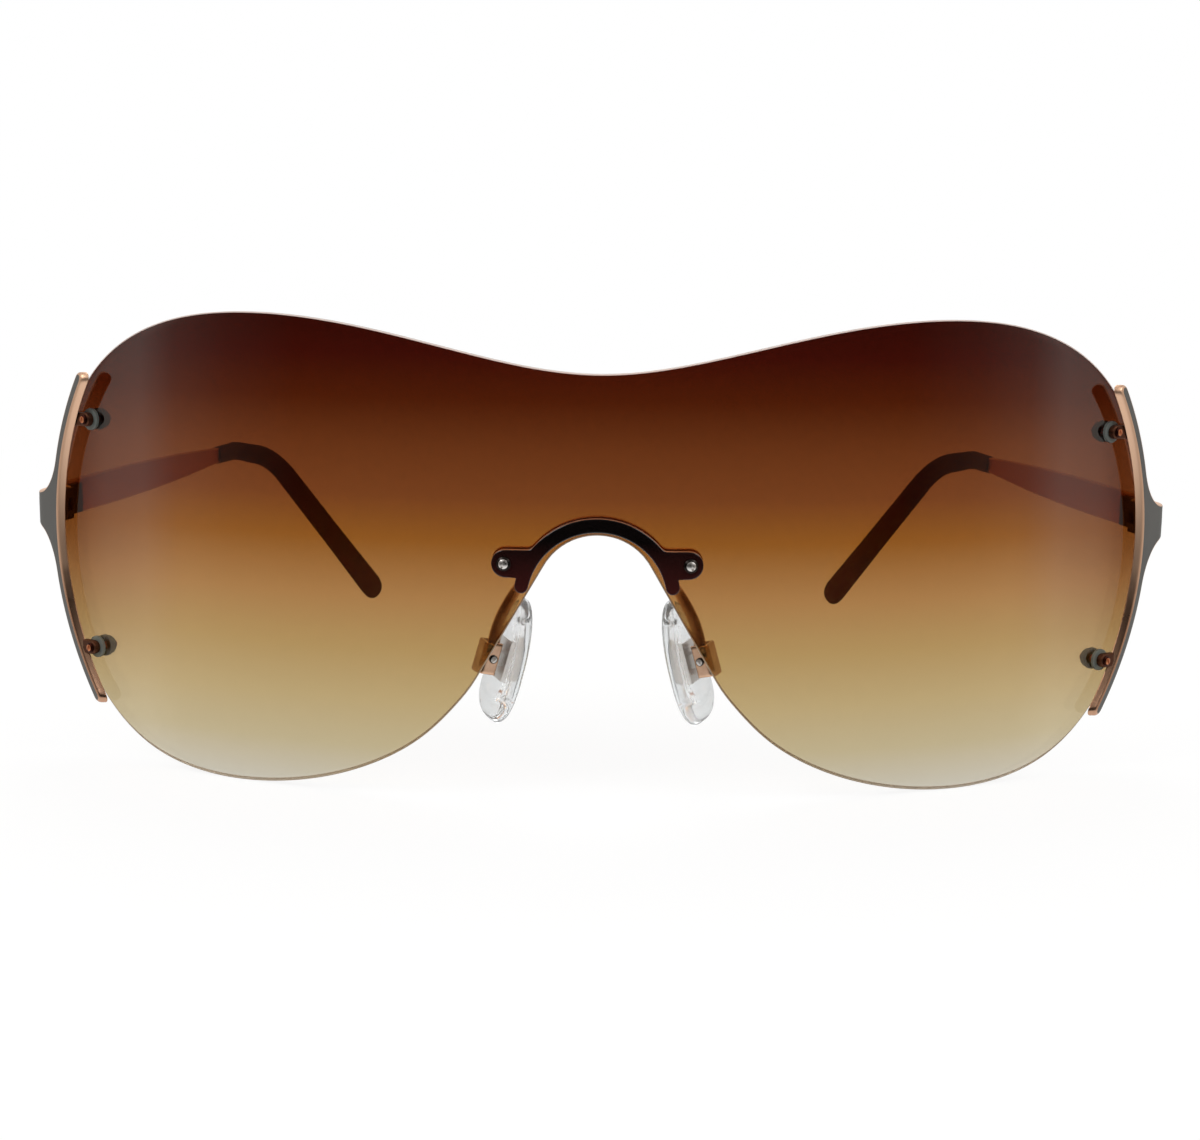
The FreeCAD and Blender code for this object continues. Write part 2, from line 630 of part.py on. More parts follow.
def hinge_bore(name, clearance):
    return rod(name, "Sizes.hinge_pin_radius + " + clearance, "Sizes.hinge_height + 2 * Sizes.overrun",
               in_temple(0, hinge_inset, hinge_base - sheet.overrun))


def make_hinge_front():
    root = block("hinge_front_block", "Sizes.hinge_block_length",
                 "Sizes.hinge_standoff + 2 * Sizes.hinge_radius", "Sizes.hinge_height",
                 in_temple(-clear_of_knuckle - sheet.hinge_block_length, sheet.metal_thickness, hinge_base))
    shapes = [root]
    tops = [hinge_base, hinge_base + sheet.hinge_height - outer_knuckle]
    for count, base in enumerate(tops):
        shapes += knuckle("hinge_front_knuckle_%d" % count, -clear_of_knuckle,
                          "Sizes.hinge_radius + Sizes.hinge_play", base,
                          "Sizes.hinge_height * %s" % outer_knuckle_share)
    solid = cut("hinge_front_seated", join("hinge_front_solid", shapes), band)
    return cut("hinge_front_right", solid, hinge_bore("hinge_front_bore", "Sizes.thread_clearance"))


def make_hinge_rear():
    leaf = block("hinge_rear_leaf", "Sizes.hinge_leaf_length", "Sizes.hinge_leaf_thickness",
                 "Sizes.hinge_height", in_temple(clear_of_knuckle, sheet.metal_thickness, hinge_base))
    shapes = knuckle("hinge_rear_knuckle", 0,
                     "Sizes.hinge_radius + Sizes.hinge_play + Sizes.hinge_leaf_thickness",
                     hinge_base + outer_knuckle + sheet.hinge_play,
                     "Sizes.hinge_height * %s - 2 * Sizes.hinge_play" % (1 - 2 * outer_knuckle_share))
    return cut("hinge_rear_right", join("hinge_rear_solid", [leaf] + shapes),
               hinge_bore("hinge_rear_bore", "Sizes.hinge_pin_clearance"))


def make_hinge_screw():
    return group("hinge_screw_right", [
        headed_pin("hinge_pin", sheet.hinge_pin_radius, sheet.hinge_height, sheet.hinge_head_radius,
                   sheet.hinge_head_height, in_temple(0, hinge_inset, hinge_base + sheet.hinge_height))])


# The temple: a tapered metal arm whose core runs into a moulded tip

arm_end_middle = sheet.neck_middle_height + sheet.arm_rise


def arm_outline():
    """Side view of the bare metal, a little deeper before it tapers."""
    stations = [(sheet.hinge_gap / 2, 0, sheet.neck_height / 2),
                (sheet.arm_length * swell_share, sheet.arm_rise * swell_share,
                 sheet.neck_height / 2 + sheet.arm_swell),
                (sheet.arm_length, sheet.arm_rise, sheet.arm_end_height / 2)]
    middle = sheet.neck_middle_height
    top = [Vector(along, middle + rise + half) for along, rise, half in stations]
    base = [Vector(along, middle + rise - half) for along, rise, half in stations]
    return [Part.Arc(*top), Part.Arc(*base), Part.LineSegment(top[0], base[0]),
            Part.LineSegment(top[2], base[2])]


def make_temple_arm():
    core = block("temple_core", "Sizes.core_length", "Sizes.metal_thickness", "Sizes.core_height",
                 in_temple(sheet.arm_length, 0, arm_end_middle - sheet.core_height / 2))
    arm = prism("temple_bar", temple_frame * front_plane, arm_outline(),
                temple_frame.Rotation.multVec(Vector(0, 1, 0)), "Sizes.metal_thickness", "0")
    return join("temple_arm_right", [arm, core])


def tip_section(name, place, direction, growth, share):
    """Upright ellipse across the tip's path, part grown from the start's size to the end's."""
    upright = (up - direction * up.dot(direction)).normalize()
    item = doc.addObject("Part::Ellipse", name)
    size = "(Sizes.tip_start_%s + (Sizes.tip_end_%s - Sizes.tip_start_%s) * %s) * %s / 2"
    item.setExpression("MajorRadius", size % ("height", "height", "height", growth, share))
    item.setExpression("MinorRadius", size % ("width", "width", "width", growth, share))
    turn = Rotation(upright, direction.cross(upright), direction, "ZXY")
    item.Placement = temple_frame * Placement(place, turn)
    return item


def core_socket():
    """Room for the core inside the tip, open towards the arm."""
    room = sheet.core_clearance
    return block("core_socket", "Sizes.core_length + Sizes.core_clearance + Sizes.overrun",
                 "Sizes.metal_thickness + 2 * Sizes.core_clearance",
                 "Sizes.core_height + 2 * Sizes.core_clearance",
                 in_temple(sheet.arm_length - sheet.overrun, -room,
                           arm_end_middle - sheet.core_height / 2 - room))


def make_temple_tip():
    """Moulded tip: runs on from the arm, turns down behind the ear and ends round."""
    middle = sheet.metal_thickness / 2
    start = Vector(sheet.arm_length, middle, arm_end_middle)
    knee = Vector(sheet.arm_length + sheet.tip_knee_reach, middle, arm_end_middle)
    corner = Vector(knee.x + sheet.tip_bend_reach, sheet.tip_bend_inward, sheet.tip_bend_height)
    end = Vector(corner.x + sheet.tip_end_reach, sheet.tip_end_inward, sheet.tip_end_lift)
    straight, _, run, bend, drop = rounded_path([start, knee, corner, end], sheet.tip_bend_radius)
    along = (knee - start).normalize()
    ahead = (corner - knee).normalize()
    down = (end - corner).normalize()
    crest = bend.value((bend.FirstParameter + bend.LastParameter) / 2)
    stations = [(start, along), (straight.EndPoint, along), (run.StartPoint, ahead),
                (run.EndPoint, ahead), (crest, (ahead + down).normalize()), (drop.StartPoint, down)]
    sections = []
    for count, (place, direction) in enumerate(stations):
        sections.append(tip_section("tip_section_%d" % count, place, direction,
                                    tip_growth_shares[count], 1))
    for count, (run_share, share) in enumerate(tip_section_shares):
        place = drop.StartPoint + (end - drop.StartPoint) * run_share
        sections.append(tip_section("tip_end_section_%d" % count, place, down, 1, share))
    solid = doc.addObject("Part::Loft", "temple_tip_solid")
    solid.Sections = sections
    solid.Solid = True
    return cut("temple_tip_right", solid, core_socket())


# The nose pad and what holds it, in the pad's frame: X away from the nose, Y back, Z up the pad

pad_frame = Placement(Vector(sheet.pad_offset, sheet.pad_depth, sheet.pad_middle_height),
                      Rotation(Vector(0, 1, 0), -sheet.pad_tilt) * Rotation(up, -sheet.pad_splay))
pad_back = sheet.pad_thickness / 2
box_mouth = pad_back + sheet.pad_gap
pad_axis = box_mouth + sheet.pad_lug_radius
box_floor = pad_axis + sheet.pad_lug_radius + sheet.pad_lug_root
box_back = box_floor + sheet.pad_box_wall
slot_half = sheet.pad_lug_width / 2 + sheet.pad_lug_clearance
box_half = slot_half + sheet.pad_box_wall


def in_pad(outward, back, along):
    return pad_frame * Placement(Vector(outward, back, along), Rotation())


def across_pad(name, radius, length, start):
    """Rod on the pad's rocking axis, which runs from front to back."""
    turn = Placement(Vector(), Rotation(Vector(1, 0, 0), -90))
    return rod(name, radius, length, in_pad(pad_axis, start, 0) * turn)


def make_pad_blank():
    body = doc.addObject("PartDesign::Body", "nose_pad_blank")
    plane = [item for item in body.Origin.OriginFeatures if item.Role == "YZ_Plane"][0]
    outline = body.newObject("Sketcher::SketchObject", "nose_pad_outline")
    outline.AttachmentSupport = [(plane, "")]
    outline.MapMode = "FlatFace"
    outline.addGeometry(Part.Ellipse(Vector(0, sheet.pad_length / 2), Vector(sheet.pad_width / 2, 0),
                                     Vector()), False)
    pad = body.newObject("PartDesign::Pad", "nose_pad_slab")
    pad.Profile = outline
    pad.SideType = "Symmetric"
    pad.setExpression("Length", "Sizes.pad_thickness")
    doc.recompute()
    rims = ["Edge%d" % count for count, edge in enumerate(pad.Shape.Edges, start=1)
            if isinstance(edge.Curve, Part.Ellipse)]
    rounding = body.newObject("PartDesign::Fillet", "nose_pad_rim")
    rounding.Base = (pad, rims)
    rounding.setExpression("Radius", "Sizes.pad_round")
    body.Placement = pad_frame
    return body


def insert_solid():
    """Plate inside the pad with a stem and a round eye that stand out into the box."""
    first = pad_back - sheet.insert_cover - sheet.insert_thickness
    plate = block("insert_plate", "Sizes.insert_thickness", "Sizes.insert_width", "Sizes.insert_length",
                  in_pad(first, -sheet.insert_width / 2, -sheet.insert_length / 2))
    stem = block("insert_stem", "Sizes.insert_cover + Sizes.insert_thickness + Sizes.pad_gap"
                 " + Sizes.pad_lug_radius", "Sizes.pad_lug_width", "2 * Sizes.pad_lug_radius",
                 in_pad(first, -sheet.pad_lug_width / 2, -sheet.pad_lug_radius))
    eye = across_pad("insert_eye", "Sizes.pad_lug_radius", "Sizes.pad_lug_width", -sheet.pad_lug_width / 2)
    return join("insert_solid", [plate, stem, eye])


def make_pad_insert(solid):
    bore = across_pad("insert_bore", "Sizes.pad_screw_radius + Sizes.pad_screw_clearance",
                      "Sizes.pad_lug_width + 2 * Sizes.overrun", -slot_half - sheet.overrun)
    return cut("pad_insert_right", solid, bore)


box_width = "Sizes.pad_lug_width + 2 * Sizes.pad_lug_clearance + 2 * Sizes.pad_box_wall"
box_depth = "2 * Sizes.pad_lug_radius + Sizes.pad_lug_root"
box_block = block("pad_box_block", box_depth + " + Sizes.pad_box_wall", box_width, "Sizes.pad_box_height",
                  in_pad(box_mouth, -box_half, -sheet.pad_box_height / 2))


def make_pad_box():
    """Channel that is open to the pad, above and below, with a wall at each end of the screw."""
    slot = block("pad_box_slot", box_depth + " + Sizes.overrun",
                 "Sizes.pad_lug_width + 2 * Sizes.pad_lug_clearance",
                 "Sizes.pad_box_height + 2 * Sizes.overrun",
                 in_pad(box_mouth - sheet.overrun, -slot_half, -sheet.pad_box_height / 2 - sheet.overrun))
    bore = across_pad("pad_box_bore", "Sizes.pad_screw_radius + Sizes.thread_clearance",
                      box_width + " + 2 * Sizes.overrun", -box_half - sheet.overrun)
    return cut("pad_box_right", cut("pad_box_channel", box_block, slot), bore)


def make_pad_screw():
    turn = Placement(Vector(), Rotation(Vector(1, 0, 0), 90))
    return group("pad_screw_right", [
        headed_pin("pad_pin", sheet.pad_screw_radius, 2 * box_half, sheet.pad_screw_head_radius,
                   sheet.pad_screw_head_height, in_pad(pad_axis, -box_half, 0) * turn)])


def make_pad_arm():
    """Flattened wire that stands back from the bridge's leg, falls outwards and comes round to the box."""
    root = on_arch(sheet.bridge_arch_radius - sheet.bridge_band / 2,
                   sheet.bridge_screw_height - sheet.pad_arm_root_drop)
    seat = on_lens(back_stack, math.asin(root.x / (sheet.lens_radius + back_stack)), root.y)
    elbow = in_pad(box_back + sheet.pad_arm_elbow_out, -sheet.pad_arm_elbow_ahead, sheet.pad_arm_elbow_rise)
    end = in_pad(box_floor, 0, sheet.pad_arm_seat_rise)
    points = [seat - Vector(0, sheet.metal_thickness, 0),
              seat + Vector(0, sheet.pad_arm_stand, -sheet.pad_arm_fall), elbow.Base, end.Base]
    path = doc.addObject("Part::Feature", "pad_arm_path")
    path.Shape = Part.Wire([edge.toShape() for edge in rounded_path(points, sheet.pad_arm_bend_radius)])
    ring = doc.addObject("Part::Ellipse", "pad_arm_section")
    ring.setExpression("MajorRadius", "Sizes.pad_arm_width / 2")
    ring.setExpression("MinorRadius", "Sizes.pad_arm_thickness / 2")
    across = Vector(1, 0, 0)
    start = (points[1] - points[0]).normalize()
    ring.Placement = Placement(points[0], Rotation(across, start.cross(across), start, "ZXY"))
    wire = doc.addObject("Part::Sweep", "pad_arm_wire")
    wire.Sections = [ring]
    wire.Spine = (path, ["Edge%d" % count for count in range(1, len(path.Shape.Edges) + 1)])
    wire.Solid = True
    return cut("pad_arm_right", meet("pad_arm_from_bridge", wire, metal_back), box_block)


# The finished pieces: those in the middle, those of the right side and their mirror images

bridge_places = fixing_places[:1]
side_places = fixing_places[1:]
middle_pieces = [make_lens(), make_bridge_plate("bridge_front_plate", front_metal_shell),
                 make_bridge_plate("bridge_back_plate", back_metal_shell)]
middle_pieces += make_fixings("bridge", bridge_places, back_stack, metal_back)
middle_pieces += make_fixings("lens", side_places, back_stack + sheet.metal_thickness, washer_back)
insert = insert_solid()
right_pieces = [make_endpiece(), make_hinge_front(), make_hinge_screw(), make_hinge_rear(),
                make_temple_arm(), make_temple_tip(), make_pad_arm(), make_pad_box(),
                make_pad_screw(), make_pad_insert(insert),
                cut("nose_pad_right", make_pad_blank(), insert)]
for piece in middle_pieces + right_pieces:
    piece.setExpression("Placement.Base.y", "-Sizes.lens_set_forward")
left_pieces = [mirrored(piece.Name.replace("right", "left"), piece) for piece in right_pieces]
doc.recompute()

for item in doc.Objects:
    if "Invalid" in item.State or "Error" in item.State:
        raise RuntimeError("failed: " + item.Name)
pieces = middle_pieces + right_pieces + left_pieces
for piece in pieces:
    piece.Label = piece.Name
    if piece.Shape.isNull() or not piece.Shape.isValid() or not piece.Shape.Solids:
        raise RuntimeError("bad shape: " + piece.Label)
os.makedirs("parts", exist_ok=True)
for piece in pieces:
    piece.Shape.exportStep(os.path.join("parts", piece.Label + ".step"))
    print(piece.Label, len(piece.Shape.Solids), round(piece.Shape.Volume, 2))
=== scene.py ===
import bpy
import bmesh
import math
import numpy as np
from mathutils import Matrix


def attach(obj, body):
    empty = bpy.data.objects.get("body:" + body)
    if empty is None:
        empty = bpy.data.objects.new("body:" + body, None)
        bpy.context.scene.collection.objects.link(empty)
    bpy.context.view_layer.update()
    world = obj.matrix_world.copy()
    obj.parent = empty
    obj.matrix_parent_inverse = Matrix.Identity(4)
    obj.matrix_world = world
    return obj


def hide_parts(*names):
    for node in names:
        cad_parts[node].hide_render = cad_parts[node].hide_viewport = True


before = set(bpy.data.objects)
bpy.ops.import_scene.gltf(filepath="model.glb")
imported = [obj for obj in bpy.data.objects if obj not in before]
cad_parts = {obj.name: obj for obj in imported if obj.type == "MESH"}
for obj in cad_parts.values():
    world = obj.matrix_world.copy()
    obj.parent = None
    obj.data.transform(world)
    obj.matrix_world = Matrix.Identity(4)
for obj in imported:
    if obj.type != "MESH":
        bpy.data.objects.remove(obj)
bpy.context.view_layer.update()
scene = bpy.context.scene
mm = 0.001
print("frame loaded:", len(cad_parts), "nodes")


# Small tools

def linear(hexColour):
    # sRGB hex to linear light
    parts = [int(hexColour[i:i + 2], 16) / 255 for i in (1, 3, 5)]
    return [c / 12.92 if c < 0.04045 else ((c + 0.055) / 1.055) ** 2.4 for c in parts] + [1.0]


def addNode(tree, kind, settings=None, links=None):
    # one node: settings go on its fields or sockets, links join its sockets to other nodes' outputs
    made = tree.nodes.new(kind)
    for key, value in (settings or {}).items():
        if isinstance(key, int) or key in made.inputs:
            made.inputs[key].default_value = value
        else:
            setattr(made, key, value)
    for key, source in (links or {}).items():
        tree.links.new(source, made.inputs[key])
    return made


def newMaterial(name):
    made = bpy.data.materials.new(name)
    made.use_nodes = True
    made.node_tree.nodes.clear()
    return made, made.node_tree


def objectPlace(tree):
    return addNode(tree, "ShaderNodeTexCoord").outputs["Object"]


def stretch(tree, value, low, high, lowTo=0.0, highTo=1.0):
    # low to high becomes lowTo to highTo, and values beyond are held there
    span = {"From Min": low, "From Max": high, "To Min": lowTo, "To Max": highTo}
    return addNode(tree, "ShaderNodeMapRange", span, {"Value": value}).outputs[0]


def toneOf(tree, share, stops):
    # colour ramp with stops of (place, hex colour)
    made = addNode(tree, "ShaderNodeValToRGB", None, {"Fac": share})
    marks = made.color_ramp.elements
    while len(marks) < len(stops):
        marks.new(0.5)
    for mark, (place, colour) in zip(marks, stops):
        mark.position = place
        mark.color = linear(colour)
    return made.outputs[0]


def reckon(tree, operation, *values):
    # one step of arithmetic
    return addNode(tree, "ShaderNodeMath", {"operation": operation}, dict(enumerate(values))).outputs[0]


def mixed(tree, share, first, second):
    # blend of two shaders
    return addNode(tree, "ShaderNodeMixShader", None, {0: share, 1: first, 2: second}).outputs[0]


def surface(tree, shader):
    addNode(tree, "ShaderNodeOutputMaterial", None, {"Surface": shader})


def pathFlag(tree, *names):
    # 1 for rays of any of the named kinds
    path = addNode(tree, "ShaderNodeLightPath")
    flag = path.outputs[names[0]]
    for name in names[1:]:
        flag = reckon(tree, "MAXIMUM", flag, path.outputs[name])
    return flag


def unit(rows):
    return rows / np.linalg.norm(rows, axis=-1, keepdims=True)


def ray(angle):
    return np.array([math.cos(angle), math.sin(angle)])


def joined(x, y, z):
    # arrays of x, y and z as one array of points
    return np.stack(np.broadcast_arrays(x, y, z), axis=-1)


def turnAbout(axis, angle):
    # rotation about x, y or z, numbered 0 to 2
    first, second = (axis + 1) % 3, (axis + 2) % 3
    turn = np.eye(3)
    turn[first, first] = math.cos(angle)
    turn[first, second] = -math.sin(angle)
    turn[second, first] = math.sin(angle)
    turn[second, second] = math.cos(angle)
    return turn


# Camera at the photograph's place, with its small turn and roll

view = {"place": (1.612, -279.913, 59.309), "yaw": 0.0062, "pitch": -0.151, "roll": -0.012,
        "focalPixels": 1854.5, "imageWidth": 1200, "sensor": 36}

# turn about z, then x, then the line of sight; the columns are right, forward and up
axes = turnAbout(2, view["yaw"]) @ turnAbout(0, view["pitch"]) @ turnAbout(1, view["roll"])
camera = bpy.data.objects.new("camera", bpy.data.cameras.new("camera"))
scene.collection.objects.link(camera)
pose = np.eye(4)
pose[:3, :3] = np.stack([axes[:, 0], axes[:, 2], -axes[:, 1]], axis=1)
pose[:3, 3] = np.array(view["place"]) * mm
camera.matrix_world = pose.T
camera.data.sensor_fit = "HORIZONTAL"
camera.data.sensor_width = view["sensor"]
camera.data.lens = view["sensor"] * view["focalPixels"] / view["imageWidth"]
camera.data.clip_start = 0.01
scene.camera = camera
scene.view_settings.view_transform = "Standard"
print("camera set")


# Floor, world and lamps: a pale table in a white studio

studio = {"floorDrop": 0.1, "floorReach": 2500, "floorColour": "#efeeec", "nearGlow": 0.88, "farGlow": 1.0,
          "glowFrom": 60, "glowTo": 420, "worldLevel": 0.7, "wallLevel": 1.0, "roofColour": "#b4b0ac",
          "roofFrom": 0.25, "roofTo": 0.8, "groundFrom": -0.26, "groundTo": -0.5}


def makeFloor():
    # painted board that takes the shadow; its glow for the camera grows with distance to hide the horizon
    mat, tree = newMaterial("pale painted board")
    paint = addNode(tree, "ShaderNodeBsdfDiffuse", {"Color": linear(studio["floorColour"])}).outputs[0]
    glow = addNode(tree, "ShaderNodeEmission", {"Color": (1, 1, 1, 1), "Strength": 1}).outputs[0]
    depth = addNode(tree, "ShaderNodeVectorMath", {"operation": "LENGTH"}, {0: objectPlace(tree)})
    far = addNode(tree, "ShaderNodeMapRange", {
        "From Min": studio["glowFrom"] * mm, "From Max": studio["glowTo"] * mm, "To Min": studio["nearGlow"],
        "To Max": studio["farGlow"], "interpolation_type": "SMOOTHSTEP"}, {"Value": depth.outputs["Value"]})
    flag = pathFlag(tree, "Is Camera Ray", "Is Transmission Ray")
    board = mixed(tree, reckon(tree, "MULTIPLY", flag, far.outputs[0]), paint, glow)
    clear = addNode(tree, "ShaderNodeBsdfTransparent").outputs[0]
    surface(tree, mixed(tree, pathFlag(tree, "Is Glossy Ray"), board, clear))
    reach, drop = studio["floorReach"], studio["floorDrop"]
    corners = np.array([[-reach, -reach, -drop], [reach, -reach, -drop], [reach, reach, -drop],
                        [-reach, reach, -drop]]) * mm
    mesh = bpy.data.meshes.new("floor")
    mesh.from_pydata(corners.tolist(), [], [[0, 1, 2, 3]])
    mesh.materials.append(mat)
    floor = bpy.data.objects.new("floor", mesh)
    scene.collection.objects.link(floor)


def makeWorld():
    # white for the camera and through glass, plain light for the surfaces; reflections show a room that is
    # dark in front with pale walls, so that the lens keeps its deep tint and has a veil near its sides
    world = bpy.data.worlds.new("white studio")
    scene.world = world
    world.use_nodes = True
    tree = world.node_tree
    tree.nodes.clear()
    ways = addNode(tree, "ShaderNodeTexCoord").outputs["Generated"]
    split = addNode(tree, "ShaderNodeSeparateXYZ", None, {0: ways})
    walls = toneOf(tree, stretch(tree, split.outputs[1], -1.0, 1.0), [
        (0.0, "#161412"), (0.17, "#1a1816"), (0.26, "#6a6058"), (0.34, "#a69a90"), (0.4, "#f2e8df"),
        (0.47, "#e0d6cc"), (0.53, "#8e8b88"), (0.7, "#d8d5d2"), (1.0, "#ffffff")])
    high = stretch(tree, split.outputs[2], studio["roofFrom"], studio["roofTo"])
    roofed = addNode(tree, "ShaderNodeMix", {"data_type": "RGBA", 7: linear(studio["roofColour"])},
                     {0: high, 6: walls})
    low = stretch(tree, split.outputs[2], studio["groundFrom"], studio["groundTo"])
    room = addNode(tree, "ShaderNodeMix", {"data_type": "RGBA", 7: (1, 1, 1, 1)},
                   {0: low, 6: roofed.outputs[2]})
    light = addNode(tree, "ShaderNodeBackground", {"Color": (1, 1, 1, 1), "Strength": studio["worldLevel"]})
    inGloss = addNode(tree, "ShaderNodeBackground", {"Strength": studio["wallLevel"]},
                      {"Color": room.outputs[2]})
    white = addNode(tree, "ShaderNodeBackground", {"Color": (1, 1, 1, 1), "Strength": 1})
    lit = mixed(tree, pathFlag(tree, "Is Glossy Ray"), light.outputs[0], inGloss.outputs[0])
    seen = mixed(tree, pathFlag(tree, "Is Camera Ray", "Is Transmission Ray"), lit, white.outputs[0])
    addNode(tree, "ShaderNodeOutputWorld", None, {"Surface": seen})


lamps = {"keyLeft": {"place": (-520, -420, 620), "size": 420, "power": 2.6},
         "fillRight": {"place": (560, -380, 560), "size": 420, "power": 2.0},
         "backTop": {"place": (0, 420, 760), "size": 500, "power": 2.0}}


def makeLamps():
    for name, lamp in lamps.items():
        data = bpy.data.lights.new(name, "AREA")
        data.shape = "DISK"
        data.size = lamp["size"] * mm
        data.energy = lamp["power"]
        item = bpy.data.objects.new(name, data)
        place = np.array(lamp["place"], float)
        away = unit(place)
        side = unit(np.cross([0, 0, 1.0], away))
        turn = np.eye(4)
        turn[:3, :3] = np.stack([side, np.cross(away, side), away], axis=1)
        turn[:3, 3] = place * mm
        item.matrix_world = turn.T
        scene.collection.objects.link(item)


makeFloor()
makeWorld()
makeLamps()
print("studio set")


# Materials: lengths in mm; marks gives the noise's usual lowest and highest values

finish = {"lensIor": 1.5, "lensRoughness": 0.0, "tintHeight": 56.1, "sideShade": "#d0bcb4", "sideFrom": 50,
          "sideTo": 66, "upperFrom": 8, "upperTo": 27, "edgeFrom": 30, "edgeTo": 46, "edgeGrain": 0.8,
          "wireGrain": 0.6, "wearShadeGrain": 1.6, "wearShadeSway": 2.5, "cloudGrain": 2.5, "marks": (0.3, 0.7)}


def marksOf(tree, grain, detail):
    # fine uneven marks of a given grain
    made = addNode(tree, "ShaderNodeTexNoise", {"Scale": 1 / (grain * mm), "Detail": detail},
                   {"Vector": objectPlace(tree)})
    return made.outputs["Fac"]


def rubbed(tree, marks, roughness, share):
    # roughness that the marks lower and raise by a share of itself
    return stretch(tree, marks, *finish["marks"], roughness * (1 - share), roughness * (1 + share))


def heightOf(tree):
    return addNode(tree, "ShaderNodeSeparateXYZ", None, {0: objectPlace(tree)}).outputs[2]


def slantOf(tree):
    # 0 where the surface faces the eye, towards 1 where it is seen along
    return addNode(tree, "ShaderNodeLayerWeight", {"Blend": 0.5}).outputs["Facing"]


def bodyOf(tree, settings, links):
    return addNode(tree, "ShaderNodeBsdfPrincipled", settings, links).outputs[0]


def tintedLens():
    # polycarbonate with a dipped gradient tint, polished: clear, deep brown at the brow, honey, then nearly
    # bare; the upper sides are darkened further by a painted shade
    mat, tree = newMaterial("gradient tinted polycarbonate")
    split = addNode(tree, "ShaderNodeSeparateXYZ", None, {0: objectPlace(tree)})
    dip = toneOf(tree, stretch(tree, split.outputs[2], 0.0, finish["tintHeight"] * mm), [
        (0.0, "#c9c3b4"), (0.1, "#c1b28e"), (0.2, "#bda678"), (0.31, "#b3935f"), (0.42, "#aa7d4b"),
        (0.54, "#8f5822"), (0.63, "#77411f"), (0.73, "#683417"), (0.83, "#4d1c08"), (0.92, "#3b0d06"),
        (1.0, "#300a05")])
    # painted shade: the tint is darkened towards the upper sides, for the shade seen through the lens there
    aside = reckon(tree, "ABSOLUTE", split.outputs[0])
    outer = stretch(tree, aside, finish["sideFrom"] * mm, finish["sideTo"] * mm)
    upper = stretch(tree, split.outputs[2], finish["upperFrom"] * mm, finish["upperTo"] * mm)
    deep = reckon(tree, "MULTIPLY", outer, upper)
    paintedSideShade = toneOf(tree, deep, [(0.0, "#ffffff"), (1.0, finish["sideShade"])])
    tint = addNode(tree, "ShaderNodeVectorMath", {"operation": "MULTIPLY"}, {0: dip, 1: paintedSideShade}).outputs[0]
    glass = bodyOf(tree, {"Transmission Weight": 1.0, "IOR": finish["lensIor"],
                          "Roughness": finish["lensRoughness"]}, {"Base Color": tint})
    clear = addNode(tree, "ShaderNodeBsdfTransparent", None, {"Color": tint}).outputs[0]
    surface(tree, mixed(tree, pathFlag(tree, "Is Shadow Ray"), glass, clear))
    return mat


def plainMetal(name, colour, darker, roughness, grain):
    # metal whose shine varies a little: fine rubbed marks, drawn coarse enough to show
    mat, tree = newMaterial(name)
    marks = marksOf(tree, grain, 3.0)
    tone = toneOf(tree, marks, [(0.3, darker), (0.7, colour)])
    rub = rubbed(tree, marks, roughness, 0.25)
    surface(tree, bodyOf(tree, {"Metallic": 1.0}, {"Base Color": tone, "Roughness": rub}))
    return mat


def drawnMetalPaintedSheen(name, face, flank, roughness):
    # polished wire, finely marked: deep in tone where it faces the eye and bright along its flanks, a
    # painted reflection
    mat, tree = newMaterial(name)
    tone = toneOf(tree, slantOf(tree), [(0.1, face), (0.7, flank)])
    rub = rubbed(tree, marksOf(tree, finish["wireGrain"], 2.0), roughness, 0.3)
    surface(tree, bodyOf(tree, {"Metallic": 1.0}, {"Base Color": tone, "Roughness": rub}))
    return mat


def wornAndShadedMetal(name, high, low, lowZ, highZ, roughness, polish):
    # plated metal, satin above and handled smooth below; darker below, partly from wear and partly a painted
    # reflection of dark surroundings; uneven border between the two
    mat, tree = newMaterial(name)
    reach = finish["wearShadeSway"] * mm
    sway = stretch(tree, marksOf(tree, finish["wearShadeGrain"], 3.0), 0.0, 1.0, -reach, reach)
    share = stretch(tree, reckon(tree, "ADD", heightOf(tree), sway), lowZ * mm, highZ * mm)
    tone = toneOf(tree, share, [(0.0, low), (1.0, high)])
    rub = stretch(tree, share, 0.0, 1.0, polish, roughness)
    surface(tree, bodyOf(tree, {"Metallic": 1.0}, {"Base Color": tone, "Roughness": rub}))
    return mat


def enamel(name, low, high, roughness, grain, mirrorShare):
    # satin colour, lacquered on metal or moulded right through: a soft mirror and a faint unevenness in tone
    mat, tree = newMaterial(name)
    tone = toneOf(tree, marksOf(tree, grain, 2.0), [(0.25, low), (0.75, high)])
    satin = {"Roughness": roughness, "IOR": 1.5, "Specular IOR Level": mirrorShare}
    surface(tree, bodyOf(tree, satin, {"Base Color": tone}))
    return mat


def heightGradedEnamel(name, high, low, lowZ, highZ, roughness):
    # lacquer under a glossy coat, its colour graded with height: red brown low down, darker above
    mat, tree = newMaterial(name)
    tone = toneOf(tree, stretch(tree, heightOf(tree), lowZ * mm, highZ * mm), [(0.0, low), (0.75, high)])
    coated = {"Roughness": roughness, "IOR": 1.5, "Coat Weight": 0.4, "Coat Roughness": 0.08}
    surface(tree, bodyOf(tree, coated, {"Base Color": tone}))
    return mat


def frostedEdgeLitAbove(name, low, high, roughness):
    # the lens's ground edge: half clear; its tone runs from brownish below to paler at the brow, painted
    # shade below and painted light above
    mat, tree = newMaterial(name)
    share = stretch(tree, heightOf(tree), finish["edgeFrom"] * mm, finish["edgeTo"] * mm)
    tone = toneOf(tree, share, [(0.0, low), (1.0, high)])
    grind = rubbed(tree, marksOf(tree, finish["edgeGrain"], 2.0), roughness, 0.2)
    halfClear = {"Transmission Weight": 0.5, "IOR": 1.5}
    surface(tree, bodyOf(tree, halfClear, {"Base Color": tone, "Roughness": grind}))
    return mat


